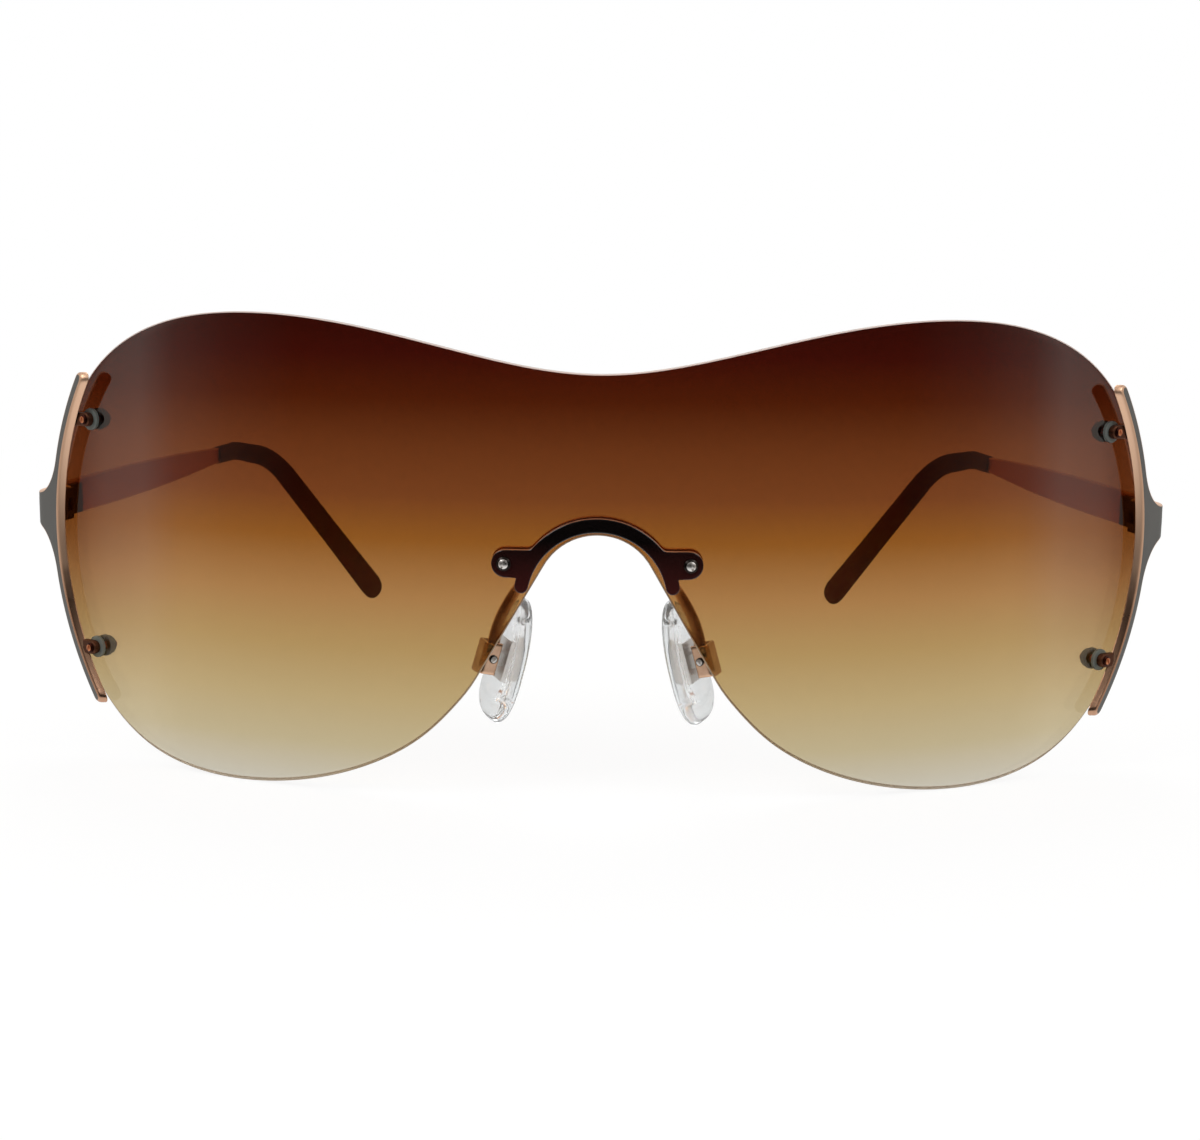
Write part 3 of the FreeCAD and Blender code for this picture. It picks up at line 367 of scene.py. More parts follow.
def clearPlastic(name, colour, slantShadeColour, ior, roughness, clearShare):
    # see-through plastic, from clear vinyl to smoky nylon, a little cloudy; greyer where it is seen aslant,
    # a painted shade for the dark outline of its edges
    mat, tree = newMaterial(name)
    tone = toneOf(tree, slantOf(tree), [(0.0, colour), (0.35, colour), (1.0, slantShadeColour)])
    cloud = rubbed(tree, marksOf(tree, finish["cloudGrain"], 2.0), roughness, 0.4)
    body = bodyOf(tree, {"Transmission Weight": clearShare, "IOR": ior},
                  {"Base Color": tone, "Roughness": cloud})
    clear = addNode(tree, "ShaderNodeBsdfTransparent", {"Color": linear(colour)}).outputs[0]
    surface(tree, mixed(tree, pathFlag(tree, "Is Shadow Ray"), body, clear))
    return mat


lensTint = tintedLens()
# the two edge tones are painted shade below and painted light at the brow
lensEdge = frostedEdgeLitAbove("fine ground edge of polycarbonate", "#8f7c6a", "#ebddd4", 0.42)
roseGold = plainMetal("rose gold plate, satin", "#e3bb9d", "#dfb698", 0.44, 1.6)
polishedGold = plainMetal("rose gold plate, polished", "#d8b498", "#c29c80", 0.13, 1.2)
# painted reflection: dark brown where the wire faces the eye, pale along its flanks
wireGold = drawnMetalPaintedSheen("rose gold wire, drawn and polished", "#6e4226", "#f4d3b4", 0.2)
# painted shade: a darker copy of the rose gold for inner sides, which get less light
innerShadeGold = plainMetal("rose gold plate, inner side darkened as painted shade", "#d48c62", "#c88058", 0.46, 1.6)
# painted shade: a dark copy of the rose gold for the bars' rear faces and lugs, which lie in shadow
rearShadeGold = plainMetal("rose gold plate, darkened behind the bars as painted shade", "#664231", "#57382a", 0.5, 1.6)
# the darker tone below is partly wear and partly a painted reflection of dark surroundings
barGold = wornAndShadedMetal("rose gold plate, worn and shaded below", "#e3bb9d", "#c0967a", 19.0, 25.0, 0.44, 0.27)
steel = plainMetal("turned stainless steel", "#e6e2de", "#dad5d0", 0.36, 0.5)
# painted reflection: near-black steel for the screw heads' flanks, standing for dark surroundings mirrored
# there
flankShadeSteel = plainMetal("steel, darkened as painted reflection", "#2c2826", "#231f1d", 0.3, 0.5)
greyEnamel = enamel("grey lacquer on metal, satin", "#35342f", "#3f3d38", 0.5, 6, 0.5)
darkEnamel = heightGradedEnamel("lacquer on metal, black above and red brown below", "#070404", "#33110f",
                         24.5, 33.0, 0.14)
brownTip = enamel("brown moulded propionate", "#440a0c", "#330709", 0.4, 5, 0.06)
# painted shade: near-black brown for the hinges, which lie in shadow behind the lens, and for the lens
# screws' dark flanks
hingeShadeMetal = plainMetal("hinge metal, darkened as painted shade", "#3a1a15", "#2d1410", 0.4, 0.8)
# the second colour of each clear plastic is painted shade where it is seen aslant
nylon = clearPlastic("smoky nylon of the cap nuts and washers", "#8f9893", "#545d5a", 1.5, 0.45, 0.66)
clearPad = clearPlastic("clear moulded vinyl, faintly cloudy", "#f1f4f5", "#777d7e", 1.45, 0.06, 0.9)
clearWasher = clearPlastic("clear washer plastic", "#eef0f0", "#c4c8c8", 1.47, 0.1, 1.0)
bySlot = {"tinted_lens": lensTint, "dark_enamel": darkEnamel, "grey_enamel": greyEnamel,
          "rose_metal": roseGold, "steel": steel, "clear_pad": clearPad, "clear_washer": clearWasher,
          "brown_tip": brownTip}
for word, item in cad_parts.items():
    for spot in item.material_slots:
        spot.material = bySlot[spot.material.name.split(".")[0]]
        if word in ("lens_nuts", "lens_washers"):
            spot.material = nylon
        # the hinges take the dark metal, a painted shade
        if word.startswith(("hinge_front", "hinge_rear")):
            spot.material = hingeShadeMetal
print("materials set")


# Surfaces: each piece is a few grids of points, worked out as whole arrays and joined along their edges

edgeSteps = 5
stripRows = 7
weld = {"joint": 0.002, "sliver": 0.0005}


def gridPart(points, kind, closed=False):
    # quads between neighbours of a grid; a closed grid joins its last column to its first
    rows, columns = points.shape[:2]
    index = np.arange(rows * columns).reshape(rows, columns)
    if closed:
        index = np.concatenate([index, index[:, :1]], axis=1)
    quads = np.stack([index[:-1, :-1], index[:-1, 1:], index[1:, 1:], index[1:, :-1]], axis=-1)
    return points.reshape(-1, 3), quads.reshape(-1, 4), kind


def patch(low, high, first, last):
    # surface between four edges: the two pairs of facing edges are blended and the corners' share taken off
    u = np.linspace(0, 1, len(low))[None, :, None]
    v = np.linspace(0, 1, len(first))[:, None, None]
    across = (1 - v) * low[None] + v * high[None]
    along = (1 - u) * first[:, None] + u * last[:, None]
    corners = (1 - v) * ((1 - u) * low[0] + u * low[-1]) + v * ((1 - u) * high[0] + u * high[-1])
    return across + along - corners


def ruled(low, high, rows):
    # straight lines from each point of one edge to its partner on the other
    v = np.linspace(0, 1, rows)[:, None, None]
    return (1 - v) * low[None] + v * high[None]


def inward(loop):
    # unit normals of a closed loop, turned to its inside
    after = np.roll(loop, -1, axis=0)
    along = after - np.roll(loop, 1, axis=0)
    area = np.sum(loop[:, 0] * after[:, 1] - after[:, 0] * loop[:, 1])
    return unit(np.stack([-along[:, 1], along[:, 0]], axis=1)) * math.copysign(1, area)


def edgeRows(loop, thickness, front, back):
    # edge of a sheet from front to back: quarter round, flat, quarter round; its loops and their depths
    turn = np.linspace(0, math.pi / 2, edgeSteps)
    inset = 1 - np.sin(turn)
    depth = 1 - np.cos(turn)
    inset = np.concatenate([front * inset, back * inset[::-1]])
    depth = np.concatenate([front * depth, thickness - back * depth[::-1]])
    return loop[None] + inward(loop)[None] * inset[:, None, None], depth[:, None]


def sheetParts(rows, depth, face, place, kinds):
    # a face in front, the same behind, and between them the rim, whose easing at the front has its own kind
    rim = place(rows[..., 0], rows[..., 1], depth)
    return [gridPart(place(face[..., 0], face[..., 1], 0.0), kinds[0]),
            gridPart(place(face[..., 0], face[..., 1], depth[-1, 0]), kinds[1]),
            gridPart(rim[:edgeSteps], kinds[2], True), gridPart(rim[edgeSteps - 1:], kinds[3], True)]


def chain(runs):
    # runs of points end to end without the doubled joints, and where each run starts
    marks = np.concatenate([[0], np.cumsum([len(run) - 1 for run in runs])])
    return np.concatenate([runs[0]] + [run[1:] for run in runs[1:]]), marks


def arcRun(middle, radius, first, last, steps):
    # circle arc between two angles
    turn = np.linspace(first, last, steps + 1)
    return np.array(middle) + radius * np.stack([np.cos(turn), np.sin(turn)], axis=1)


def lineRun(start, end, steps):
    return np.linspace(np.array(start, float), np.array(end, float), steps + 1)


def lengthsOf(path):
    # length of a path up to each of its points
    return np.concatenate([[0], np.cumsum(np.linalg.norm(np.diff(path, axis=0), axis=1))])


def tube(line, hint, high, wide, columns):
    # rings round a path: the hint gives each ring's upright, squared to the path's own direction
    way = unit(np.gradient(line, axis=0))
    upright = unit(np.array(hint, float) - way * (way @ np.array(hint, float))[:, None])
    across = np.cross(way, upright)
    angle = np.linspace(0, 2 * math.pi, columns, endpoint=False)
    return (line[:, None] + upright[:, None] * (high[:, None] * np.cos(angle))[..., None]
            + across[:, None] * (wide[:, None] * np.sin(angle))[..., None])


def mirrored(parts):
    return [(points * [-1, 1, 1], quads, kind) for points, quads, kind in parts]


def makePiece(name, parts, materials, body, nodes, flip=1, sharp=40):
    # one closed mesh from its grids; flip -1 mirrors it to the left side
    points = np.concatenate([part[0] for part in parts])
    points = (points - [0, lens["setForward"], 0]) * mm * [flip, 1, 1]
    starts = np.cumsum([0] + [len(part[0]) for part in parts[:-1]])
    faces = np.concatenate([part[1] + start for part, start in zip(parts, starts)])
    kinds = np.concatenate([np.full(len(part[1]), part[2], dtype=np.int32) for part in parts])
    mesh = bpy.data.meshes.new(name)
    mesh.from_pydata(points.tolist(), [], faces.tolist())
    for material in materials:
        mesh.materials.append(material)
    mesh.polygons.foreach_set("material_index", kinds)
    work = bmesh.new()
    work.from_mesh(mesh)
    bmesh.ops.remove_doubles(work, verts=work.verts, dist=weld["joint"] * mm)
    bmesh.ops.dissolve_degenerate(work, edges=work.edges, dist=weld["sliver"] * mm)
    bmesh.ops.recalc_face_normals(work, faces=work.faces)
    work.to_mesh(mesh)
    work.free()
    mesh.shade_smooth()
    mesh.set_sharp_from_angle(angle=math.radians(sharp))
    item = bpy.data.objects.new(name, mesh)
    scene.collection.objects.link(item)
    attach(item, body)
    if nodes:
        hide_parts(*nodes)
    return item


sides = {"right": 1, "left": -1}


# Lens: a wall of a cylinder, cut to the shield's outline, with a ground edge

lens = {"radius": 105, "thickness": 1.8, "halfWidth": 68.1, "height": 56.1, "setForward": 71.01,
        "brow": 49.7, "archRadius": 7, "archTop": 31.45, "flankAngle": 30, "flankLength": 15.6, "edge": 0.13,
        "cornerHigh": 36, "cornerLow": 16, "columns": 361, "rows": 57, "perSpan": 60,
        "rimShares": [(0.235, 0.929), (0.411, 0.976), (0.602, 1.0), (0.764, 0.977), (0.874, 0.914),
                      (0.957, 0.8), (0.996, 0.6), (0.992, 0.33), (0.963, 0.236), (0.905, 0.127),
                      (0.815, 0.042), (0.712, 0.005), (0.61, 0.0), (0.5, 0.018), (0.382, 0.066),
                      (0.294, 0.132), (0.24, 0.198)]}


def smoothCurve(points, first, last, perSpan):
    # cubic curve through the points, timed by their spacing, with given slopes at its two ends
    step = np.linalg.norm(np.diff(points, axis=0), axis=1)
    rise = np.diff(points, axis=0) / step[:, None]
    inner = np.arange(1, len(points) - 1)
    left = np.eye(len(points))
    left[inner, inner - 1] = step[1:]
    left[inner, inner] = 2 * (step[1:] + step[:-1])
    left[inner, inner + 1] = step[:-1]
    right = np.zeros(points.shape)
    right[0], right[-1] = first, last
    right[inner] = 3 * (rise[:-1] * step[1:, None] + rise[1:] * step[:-1, None])
    slope = np.linalg.solve(left, right)
    t = np.linspace(0, 1, perSpan, endpoint=False)[None, :, None]
    leave = slope[:-1, None] * step[:, None, None]
    arrive = slope[1:, None] * step[:, None, None]
    curve = ((2 * t**3 - 3 * t**2 + 1) * points[:-1, None] + (t**3 - 2 * t**2 + t) * leave
             + (3 * t**2 - 2 * t**3) * points[1:, None] + (t**3 - t**2) * arrive)
    return np.concatenate([curve.reshape(-1, points.shape[1]), points[-1:]])


def onCylinder(x, z, radius):
    # point of an upright cylinder about the lens's axis, in front of that axis
    y = lens["radius"] - np.sqrt(radius ** 2 - x ** 2)
    return joined(x, y, z)


def lensEdges():
    # brow, sides and lobes as one smooth curve, straight flanks and a round arch; given as four edges
    slope = math.radians(lens["flankAngle"])
    flank = np.array([math.sin(slope), -math.cos(slope)])
    archMiddle = np.array([0, lens["archTop"] - lens["archRadius"]])
    foot = archMiddle + lens["archRadius"] * ray(slope) + flank * lens["flankLength"]
    knots = np.concatenate([np.array(lens["rimShares"]) * [lens["halfWidth"], lens["height"]], [foot]])
    knots = np.concatenate([knots[::-1] * [-1, 1], [[0, lens["brow"]]], knots])
    rim = smoothCurve(knots, flank * [-1, 1], -flank, lens["perSpan"])
    rim = rim[len(rim) // 2:]
    high = np.argmax(rim[:, 1] < lens["cornerHigh"])
    low = np.argmax(rim[:, 1] < lens["cornerLow"])
    arch = arcRun(archMiddle, lens["archRadius"], slope, math.pi / 2, lens["perSpan"])
    under = np.concatenate([rim[low:], arch])[::-1]
    spread = np.sin(np.linspace(-1, 1, lens["columns"]) * math.pi / 2)
    topX = spread * rim[high, 0]
    lowX = spread * rim[low, 0]
    top = np.stack([topX, np.interp(abs(topX), rim[:high + 1, 0], rim[:high + 1, 1])], axis=1)
    bottom = np.stack([lowX, np.interp(abs(lowX), under[:, 0], under[:, 1])], axis=1)
    flankZ = np.linspace(rim[low, 1], rim[high, 1], lens["rows"])
    edge = rim[high:low + 1][::-1]
    right = np.stack([np.interp(flankZ, edge[:, 1], edge[:, 0]), flankZ], axis=1)
    return bottom, top, right * [-1, 1], right


def sheet(low, high, first, last, place, thickness, edge, easing=0):
    # sheet bounded by four edges: front of kind 0, back 1, rim 2, and the kind of the rim's easing is given
    n, m = len(low), len(first)
    loop = np.concatenate([low, last[1:], high[::-1][1:], first[::-1][1:-1]])
    rows, depth = edgeRows(loop, thickness, edge, edge)
    inner = rows[0]
    face = patch(inner[:n], inner[n + m - 2:2 * n + m - 2][::-1],
                 np.concatenate([inner[2 * n + m - 3:], inner[:1]])[::-1], inner[n - 1:n + m - 1])
    return sheetParts(rows, depth, face, place, (0, 1, easing, 2))


def onLens(x, z, depth):
    return onCylinder(x, z, lens["radius"] - depth)


parts = sheet(*lensEdges(), onLens, lens["thickness"], lens["edge"], 2)
makePiece("lensShield", parts, [lensTint, lensTint, lensEdge], "front", ["shield_lens"])
print("lens made")


# Bridge: an arched strip with an ear at each screw, in front of the lens and again behind it

bridge = {"archMiddle": 23.9, "archRadius": 9.6, "band": 1.6, "screwReach": 10.5, "screwHeight": 28.2,
          "earRadius": 1.6, "legHeight": 25.6, "sheet": 0.9, "washer": 0.35, "edge": 0.1, "soften": 3}


def bridgeEdges():
    # the arch's two edges from the left leg's end to the right one; the outer one goes round the ears
    archSteps, topSteps, earSteps, baseSteps, rootSteps, endSteps = 40, 10, 28, 5, 12, 8
    outer, ear = bridge["archRadius"], bridge["earRadius"]
    inner = outer - bridge["band"]
    middle = (0, bridge["archMiddle"])
    screw = np.array([bridge["screwReach"], bridge["screwHeight"]])
    rise = [bridge["screwHeight"] + ear - middle[1], bridge["screwHeight"] - ear - middle[1],
            bridge["legHeight"] - middle[1]]
    turn = [math.asin(high / outer) for high in rise]
    legTurn = math.asin(rise[2] / inner)
    half = bridge["band"] / 2
    legEnd = [math.sqrt((outer - half) ** 2 - rise[2] ** 2), bridge["legHeight"]]
    arch = arcRun(middle, outer, math.pi / 2, turn[0], archSteps)
    root = arcRun(middle, outer, turn[1], turn[2], rootSteps)
    outside = chain([arch, lineRun(arch[-1], screw + [0, ear], topSteps),
                     arcRun(screw, ear, math.pi / 2, -math.pi / 2, earSteps),
                     lineRun(screw - [0, ear], root[0], baseSteps), root,
                     arcRun(legEnd, half, 0, -math.pi / 2, endSteps)])[0]
    inside = chain([arcRun(middle, inner, math.pi / 2, turn[0], archSteps),
                    arcRun(middle, inner, turn[0], turn[1], topSteps + earSteps + baseSteps),
                    arcRun(middle, inner, turn[1], legTurn, rootSteps),
                    arcRun(legEnd, half, -math.pi, -math.pi / 2, endSteps)])[0]
    return [np.concatenate([path[::-1] * [-1, 1], path[1:]]) for path in (outside, inside)]


def stripParts(outside, inside, place, thickness, edge, soften):
    # strip between two edges that meet at both ends; its corners are eased by a few rounds of averaging
    n = len(outside)
    loop = np.concatenate([outside, inside[::-1][1:-1]])
    for _ in range(soften):
        loop = (np.roll(loop, 1, axis=0) + 2 * loop + np.roll(loop, -1, axis=0)) / 4
    rows, depth = edgeRows(loop, thickness, edge, edge)
    inner = rows[0]
    face = ruled(inner[:n], np.concatenate([inner[:1], inner[n:][::-1], inner[n - 1:n]]), stripRows)
    return sheetParts(rows, depth, face, place, (0, 1, 0, 1))


def onFrontPlate(x, z, depth):
    return onCylinder(x, z, lens["radius"] + bridge["washer"] + bridge["sheet"] - depth)


def onBackPlate(x, z, depth):
    return onCylinder(x, z, lens["radius"] - lens["thickness"] - bridge["washer"] - depth)


edges = bridgeEdges()
parts = stripParts(*edges, onFrontPlate, bridge["sheet"], bridge["edge"], bridge["soften"])
makePiece("bridgeFront", parts, [darkEnamel, roseGold], "front", ["bridge_front_plate"])
parts = stripParts(*edges, onBackPlate, bridge["sheet"], bridge["edge"], bridge["soften"])
makePiece("bridgeBack", parts, [roseGold, roseGold], "front", ["bridge_back_plate"])
print("bridge made")


# Endpieces: bowed sheet along the lens's side edges, with a neck back to the temple and two lugs on the lens

side = {"screwInset": 5, "screwRise": 0.5, "screwSpacing": 28.7, "lugRadius": 0.85, "lugReach": 0.3,
        "barMiddle": 27.6, "barHalf": 19.4, "barLead": 1.6, "barStand": 0.5, "barTurn": 56, "barBow": 4.85,
        "barWidth": 1.8, "barRound": 100, "flareRadius": 6, "bendLead": 6.3, "bendRadius": 6,
        "neckHeight": 4.4, "neckMiddle": 30.3, "neckStraight": 2.9, "templeAngle": 6.4, "sheet": 0.9,
        "washer": 0.35, "edge": 0.17, "frontEdge": 0.3, "barRows": 5}
lean = math.radians(side["templeAngle"])
barTurn = math.radians(side["barTurn"])
edgeAngle = math.asin(lens["halfWidth"] / lens["radius"])
screwAngle = math.asin((lens["halfWidth"] - side["screwInset"]) / lens["radius"])
screwHeights = [side["barMiddle"] + side["screwRise"] + sign * side["screwSpacing"] / 2 for sign in (-1, 1)]
lugFace = lens["radius"] + side["washer"] + side["sheet"]
barAlong = ray(barTurn)
barInward = np.array([-barAlong[1], barAlong[0]])
barCorner = np.array([lens["halfWidth"] + side["barStand"],
                      lens["radius"] - lens["radius"] * math.cos(edgeAngle) - side["barLead"]])
bendMiddle = barCorner + barAlong * side["bendLead"] + barInward * side["bendRadius"]
runStart = bendMiddle + side["bendRadius"] * ray(lean)
runAlong = np.array([-math.sin(lean), math.cos(lean)])


def onBand(y, z, depth):
    # band in plan: straight at the bar, then a round bend, then straight back; x for each y and depth, swung
    # round a line from front to back so that the bar's ends come in
    turn = side["bendRadius"] - depth
    bendStart = bendMiddle[1] - turn * math.cos(barTurn)
    bendEnd = bendMiddle[1] + turn * math.sin(lean)
    onBar = bendMiddle[0] + turn * math.sin(barTurn) + (y - bendStart) / math.tan(barTurn)
    onBend = bendMiddle[0] + np.sqrt(np.maximum(turn ** 2 - (y - bendMiddle[1]) ** 2, 0))
    onRun = bendMiddle[0] + turn * math.cos(lean) - (y - bendEnd) * math.tan(lean)
    x = np.where(y < bendStart, onBar, np.where(y < bendEnd, onBend, onRun))
    swing = barCorner[0] - side["barRound"]
    x = swing + np.sqrt((x - swing) ** 2 - (z - side["neckMiddle"]) ** 2)
    return joined(x, y, z)


def onLug(along, z, depth):
    # lug's sheet round the lens, from the screw's line outwards
    turn = screwAngle + along / lugFace
    reach = lugFace - depth
    return joined(reach * np.sin(turn), lens["radius"] - reach * np.cos(turn), z)


def lugParts(height):
    # round eye about the screw and a tongue that ends inside the bar's sheet
    middle = lugFace - side["sheet"] / 2
    drop = side["barRound"] - math.sqrt(side["barRound"] ** 2 - (height - side["neckMiddle"]) ** 2)
    across = (np.array([drop, lens["radius"]]) - barCorner) @ barInward - side["sheet"]
    run = middle * (barTurn - math.acos(across / middle) - screwAngle) + side["lugReach"]
    eye = side["lugRadius"]
    top = height + eye
    upper = chain([arcRun((0, height), eye, -math.pi, -1.5 * math.pi, 14), lineRun((0, top), (run, top), 8),
                   lineRun((run, top), (run, height), 6)])[0]
    lower = np.stack([upper[:, 0], 2 * height - upper[:, 1]], axis=1)
    return stripParts(lower, upper, onLug, side["sheet"], side["edge"], 0)


def endpieceParts():
    # side view as two paths from the bar's lower end to its upper one: bowed front, and rear with the neck
    capSteps, lowSteps, rootSteps, highSteps, hollowSteps, neckSteps = 8, 40, 44, 34, 16, 12
    bow = (side["barHalf"] ** 2 + side["barBow"] ** 2) / (2 * side["barBow"])
    rear = bow + side["barWidth"]
    half = side["barWidth"] / 2
    middle = np.array([barCorner[1] - bow, side["barMiddle"]])
    end = math.asin(side["barHalf"] / bow)
    lowCap = middle + (bow + half) * ray(-end)
    highCap = middle + (bow + half) * ray(end)
    front = chain([arcRun(lowCap, half, -end - math.pi / 2, -end - math.pi, capSteps),
                   arcRun(middle, bow, -end, end, lowSteps + rootSteps + highSteps),
                   arcRun(highCap, half, end - math.pi, end - 1.5 * math.pi, capSteps)])[0]
    neckEnd = (runStart + side["neckStraight"] * runAlong)[1]
    flares = []
    for sign in (-1, 1):
        neckEdge = side["neckMiddle"] + sign * side["neckHeight"] / 2
        flareZ = neckEdge + sign * side["flareRadius"]
        turn = math.asin((flareZ - middle[1]) / (rear + side["flareRadius"]))
        flare = middle + (rear + side["flareRadius"]) * ray(turn)
        hollow = arcRun(flare, side["flareRadius"], turn + math.pi, math.pi * (1 + sign / 2), hollowSteps)
        neck = lineRun(hollow[-1], [neckEnd, neckEdge], neckSteps)
        flares.append({"turn": turn, "hollow": hollow, "neck": neck})
    low, high = flares
    back, marks = chain([arcRun(lowCap, half, -end - math.pi / 2, -end, capSteps),
                         arcRun(middle, rear, -end, low["turn"], lowSteps), low["hollow"], low["neck"],
                         lineRun(low["neck"][-1], high["neck"][-1], rootSteps), high["neck"][::-1],
                         high["hollow"][::-1], arcRun(middle, rear, high["turn"], end, highSteps),
                         arcRun(highCap, half, end, end + math.pi / 2, capSteps)])
    # share of a square cut: whole at the neck's end, none along the bar, whose edges face forward
    backCut = np.zeros(len(back))
    growing = np.linspace(0, 1, neckSteps + 1)
    backCut[marks[3]:marks[4] + 1] = growing
    backCut[marks[4]:marks[5] + 1] = 1
    backCut[marks[5]:marks[6] + 1] = growing[::-1]
    n = len(front)
    loop = np.concatenate([front, back[::-1][1:-1]])
    squareCut = np.concatenate([np.zeros(n), backCut[::-1][1:-1]])
    rows, depth = edgeRows(loop, side["sheet"], side["frontEdge"], side["edge"])
    rows[..., 0] -= depth * squareCut * math.sin(lean)
    parts = [gridPart(onBand(rows[..., 0], rows[..., 1], depth), 1, True)]
    for row, deep, kind in ((rows[0], 0.0, 0), (rows[-1], side["sheet"], 2)):
        aft = np.concatenate([row[:1], row[n:][::-1], row[n - 1:n]])
        aftRuns = [aft[a:b + 1] for a, b in zip(marks, marks[1:])]
        root = lineRun(aftRuns[2][0], aftRuns[6][-1], rootSteps)
        barRear = chain(aftRuns[:2] + [root] + aftRuns[7:])[0]
        neck = patch(chain(aftRuns[2:4])[0], chain(aftRuns[5:7])[0][::-1], root, aftRuns[4])
        faces = [ruled(row[:n], barRear, side["barRows"]), neck]
        parts += [gridPart(onBand(face[..., 0], face[..., 1], deep), kind) for face in faces]
    for height in screwHeights:
        parts += [(points, quads, 2) for points, quads, _ in lugParts(height)]
    return parts


parts = endpieceParts()
for word, flip in sides.items():
    makePiece("endpiece." + word, parts, [greyEnamel, barGold, rearShadeGold], "front",
              ["endpiece_" + word], flip)
print("endpieces made")


# Temples: a tapered strip of sheet, and a moulded tip that turns down behind the ear

arm = {"length": 65.8, "gap": 0.3, "swell": 0.2, "swellShare": 0.35, "endHeight": 2.5, "rise": 0.5,
       "sheet": 0.9, "intoTip": 1.2, "edge": 0.24, "columns": 90, "rows": 9}
hingeCorner = runStart + (side["neckStraight"] + arm["gap"] / 2) * runAlong


def inTemple(along, z, deep):
    # along the temple from the hinge, inwards from its outer face, and up
    x = hingeCorner[0] - along * math.sin(lean) - deep * math.cos(lean)
    y = hingeCorner[1] + along * math.cos(lean) - deep * math.sin(lean)
    return joined(x, y, z)


def armEdges():
    # curve through three heights, above and below: at the hinge, at the arm's deepest and at the tip's start
    stations = np.array([arm["gap"] / 2, arm["length"] * arm["swellShare"], arm["length"]])
    rise = arm["rise"] * np.array([0, arm["swellShare"], 1])
    half = np.array([side["neckHeight"] / 2, side["neckHeight"] / 2 + arm["swell"], arm["endHeight"] / 2])
    along = np.linspace(stations[0], arm["length"] + arm["intoTip"], arm["columns"])
    low, high = [
        np.stack([along, side["neckMiddle"] + np.polyval(np.polyfit(stations, heights, 2), along)], axis=1)
        for heights in (rise - half, rise + half)]
    return low, high, lineRun(low[0], high[0], arm["rows"] - 1), lineRun(low[-1], high[-1], arm["rows"] - 1)


tip = {"startHeight": 2.9, "startWidth": 2.1, "endHeight": 4.6, "endWidth": 2.4, "kneeReach": 10,
       "bendReach": 12, "bendInward": 3.4, "bendHeight": 28.6, "bendRadius": 14, "endReach": 21.6,
       "endInward": 17.4, "endLift": 0.72, "growth": [0.0, 0.1, 0.15, 0.3, 0.42, 0.55, 0.72, 1.0],
       "domeStart": 0.9, "domePower": 2.5, "startEase": 0.12, "easeLength": 0.12, "columns": 40,
       "runSteps": 12, "bendSteps": (14, 34), "endRows": 70, "endCrowding": 1.6}


def tipParts():
    # ellipse carried along straight runs and round bends; its size grows, then closes in a round end
    middle = arm["sheet"] / 2
    startZ = side["neckMiddle"] + arm["rise"]
    knee = arm["length"] + tip["kneeReach"]
    corner = knee + tip["bendReach"]
    points = np.array([[arm["length"], middle, startZ], [knee, middle, startZ],
                       [corner, tip["bendInward"], tip["bendHeight"]],
                       [corner + tip["endReach"], tip["endInward"], tip["endLift"]]])
    ways = unit(np.diff(points, axis=0))
    runs = []
    start = points[0]
    for before, after, spot, count in zip(ways, ways[1:], points[1:], tip["bendSteps"]):
        turn = math.acos(np.dot(before, after))
        toMiddle = unit(after - before * math.cos(turn))
        angle = np.linspace(0, turn, count + 1)[:, None]
        first = spot - before * tip["bendRadius"] * math.tan(turn / 2)
        bend = first + tip["bendRadius"] * (np.sin(angle) * before + (1 - np.cos(angle)) * toMiddle)
        runs += [lineRun(start, first, tip["runSteps"]), bend]
        start = bend[-1]
    ending = 1 - (1 - np.linspace(0, 1, tip["endRows"])[:, None]) ** tip["endCrowding"]
    runs.append(start + (points[3] - start) * ending)
    line, marks = chain(runs)
    length = lengthsOf(line)
    dropStart = length[marks[4]]
    drop = length[-1] - dropStart
    stations = [0, length[marks[1]], length[marks[2]], length[marks[3]], (length[marks[3]] + dropStart) / 2,
                dropStart, dropStart + 0.5 * drop, dropStart + tip["domeStart"] * drop]
    growth = np.interp(length, stations, tip["growth"])
    dome = np.clip(((length - dropStart) / drop - tip["domeStart"]) / (1 - tip["domeStart"]), 0, 1)
    close = (1 - dome ** tip["domePower"]) ** (1 / tip["domePower"])
    close = close * (1 - tip["startEase"] * np.exp(-length / tip["easeLength"]))
    high = (tip["startHeight"] + (tip["endHeight"] - tip["startHeight"]) * growth) / 2 * close
    wide = (tip["startWidth"] + (tip["endWidth"] - tip["startWidth"]) * growth) / 2 * close
    ring = tube(line, (0, 0, 1), high, wide, tip["columns"])
    lid = np.stack([np.broadcast_to(line[0], ring[0].shape), ring[0]])
    grid = np.concatenate([lid[:1], ring])
    return [gridPart(inTemple(grid[..., 0], grid[..., 2], grid[..., 1]), 0, True)]


armParts = sheet(*armEdges(), inTemple, arm["sheet"], arm["edge"])
for word, flip in sides.items():
    makePiece("templeArm." + word, armParts, [greyEnamel, innerShadeGold, roseGold], "temple_" + word,
              ["temple_arm_" + word], flip)
    makePiece("templeTip." + word, tipParts(), [brownTip], "temple_" + word,
              ["temple_tip_" + word], flip)
print("temples made")


# Nose pads: clear mouldings, oval and a little fuller below, with a step round each flat face

pad = {"place": (10.65, 9.5, 15.1), "length": 15.4, "width": 8, "thickness": 2.2, "tilt": 15.4, "splay": 28,
       "taper": 0.14, "fuller": 0.3, "lowSquare": 0.74, "highSquare": 0.93, "columns": 96,
       "reachShares": [0, 0.3, 0.57, 0.61, 0.66, 0.7, 0.78, 0.86, 0.92, 0.965, 0.99, 1.0],
       "deepShares": [1.0, 1.0, 1.0, 0.97, 0.78, 0.73, 0.71, 0.66, 0.56, 0.4, 0.22, 0.0]}


def inPad(local):
    # the pad's own frame: away from the nose, back, and up the pad; leaned over and turned to face the nose
    turn = turnAbout(1, math.radians(-pad["tilt"])) @ turnAbout(2, math.radians(-pad["splay"]))
    return local @ turn.T + pad["place"]


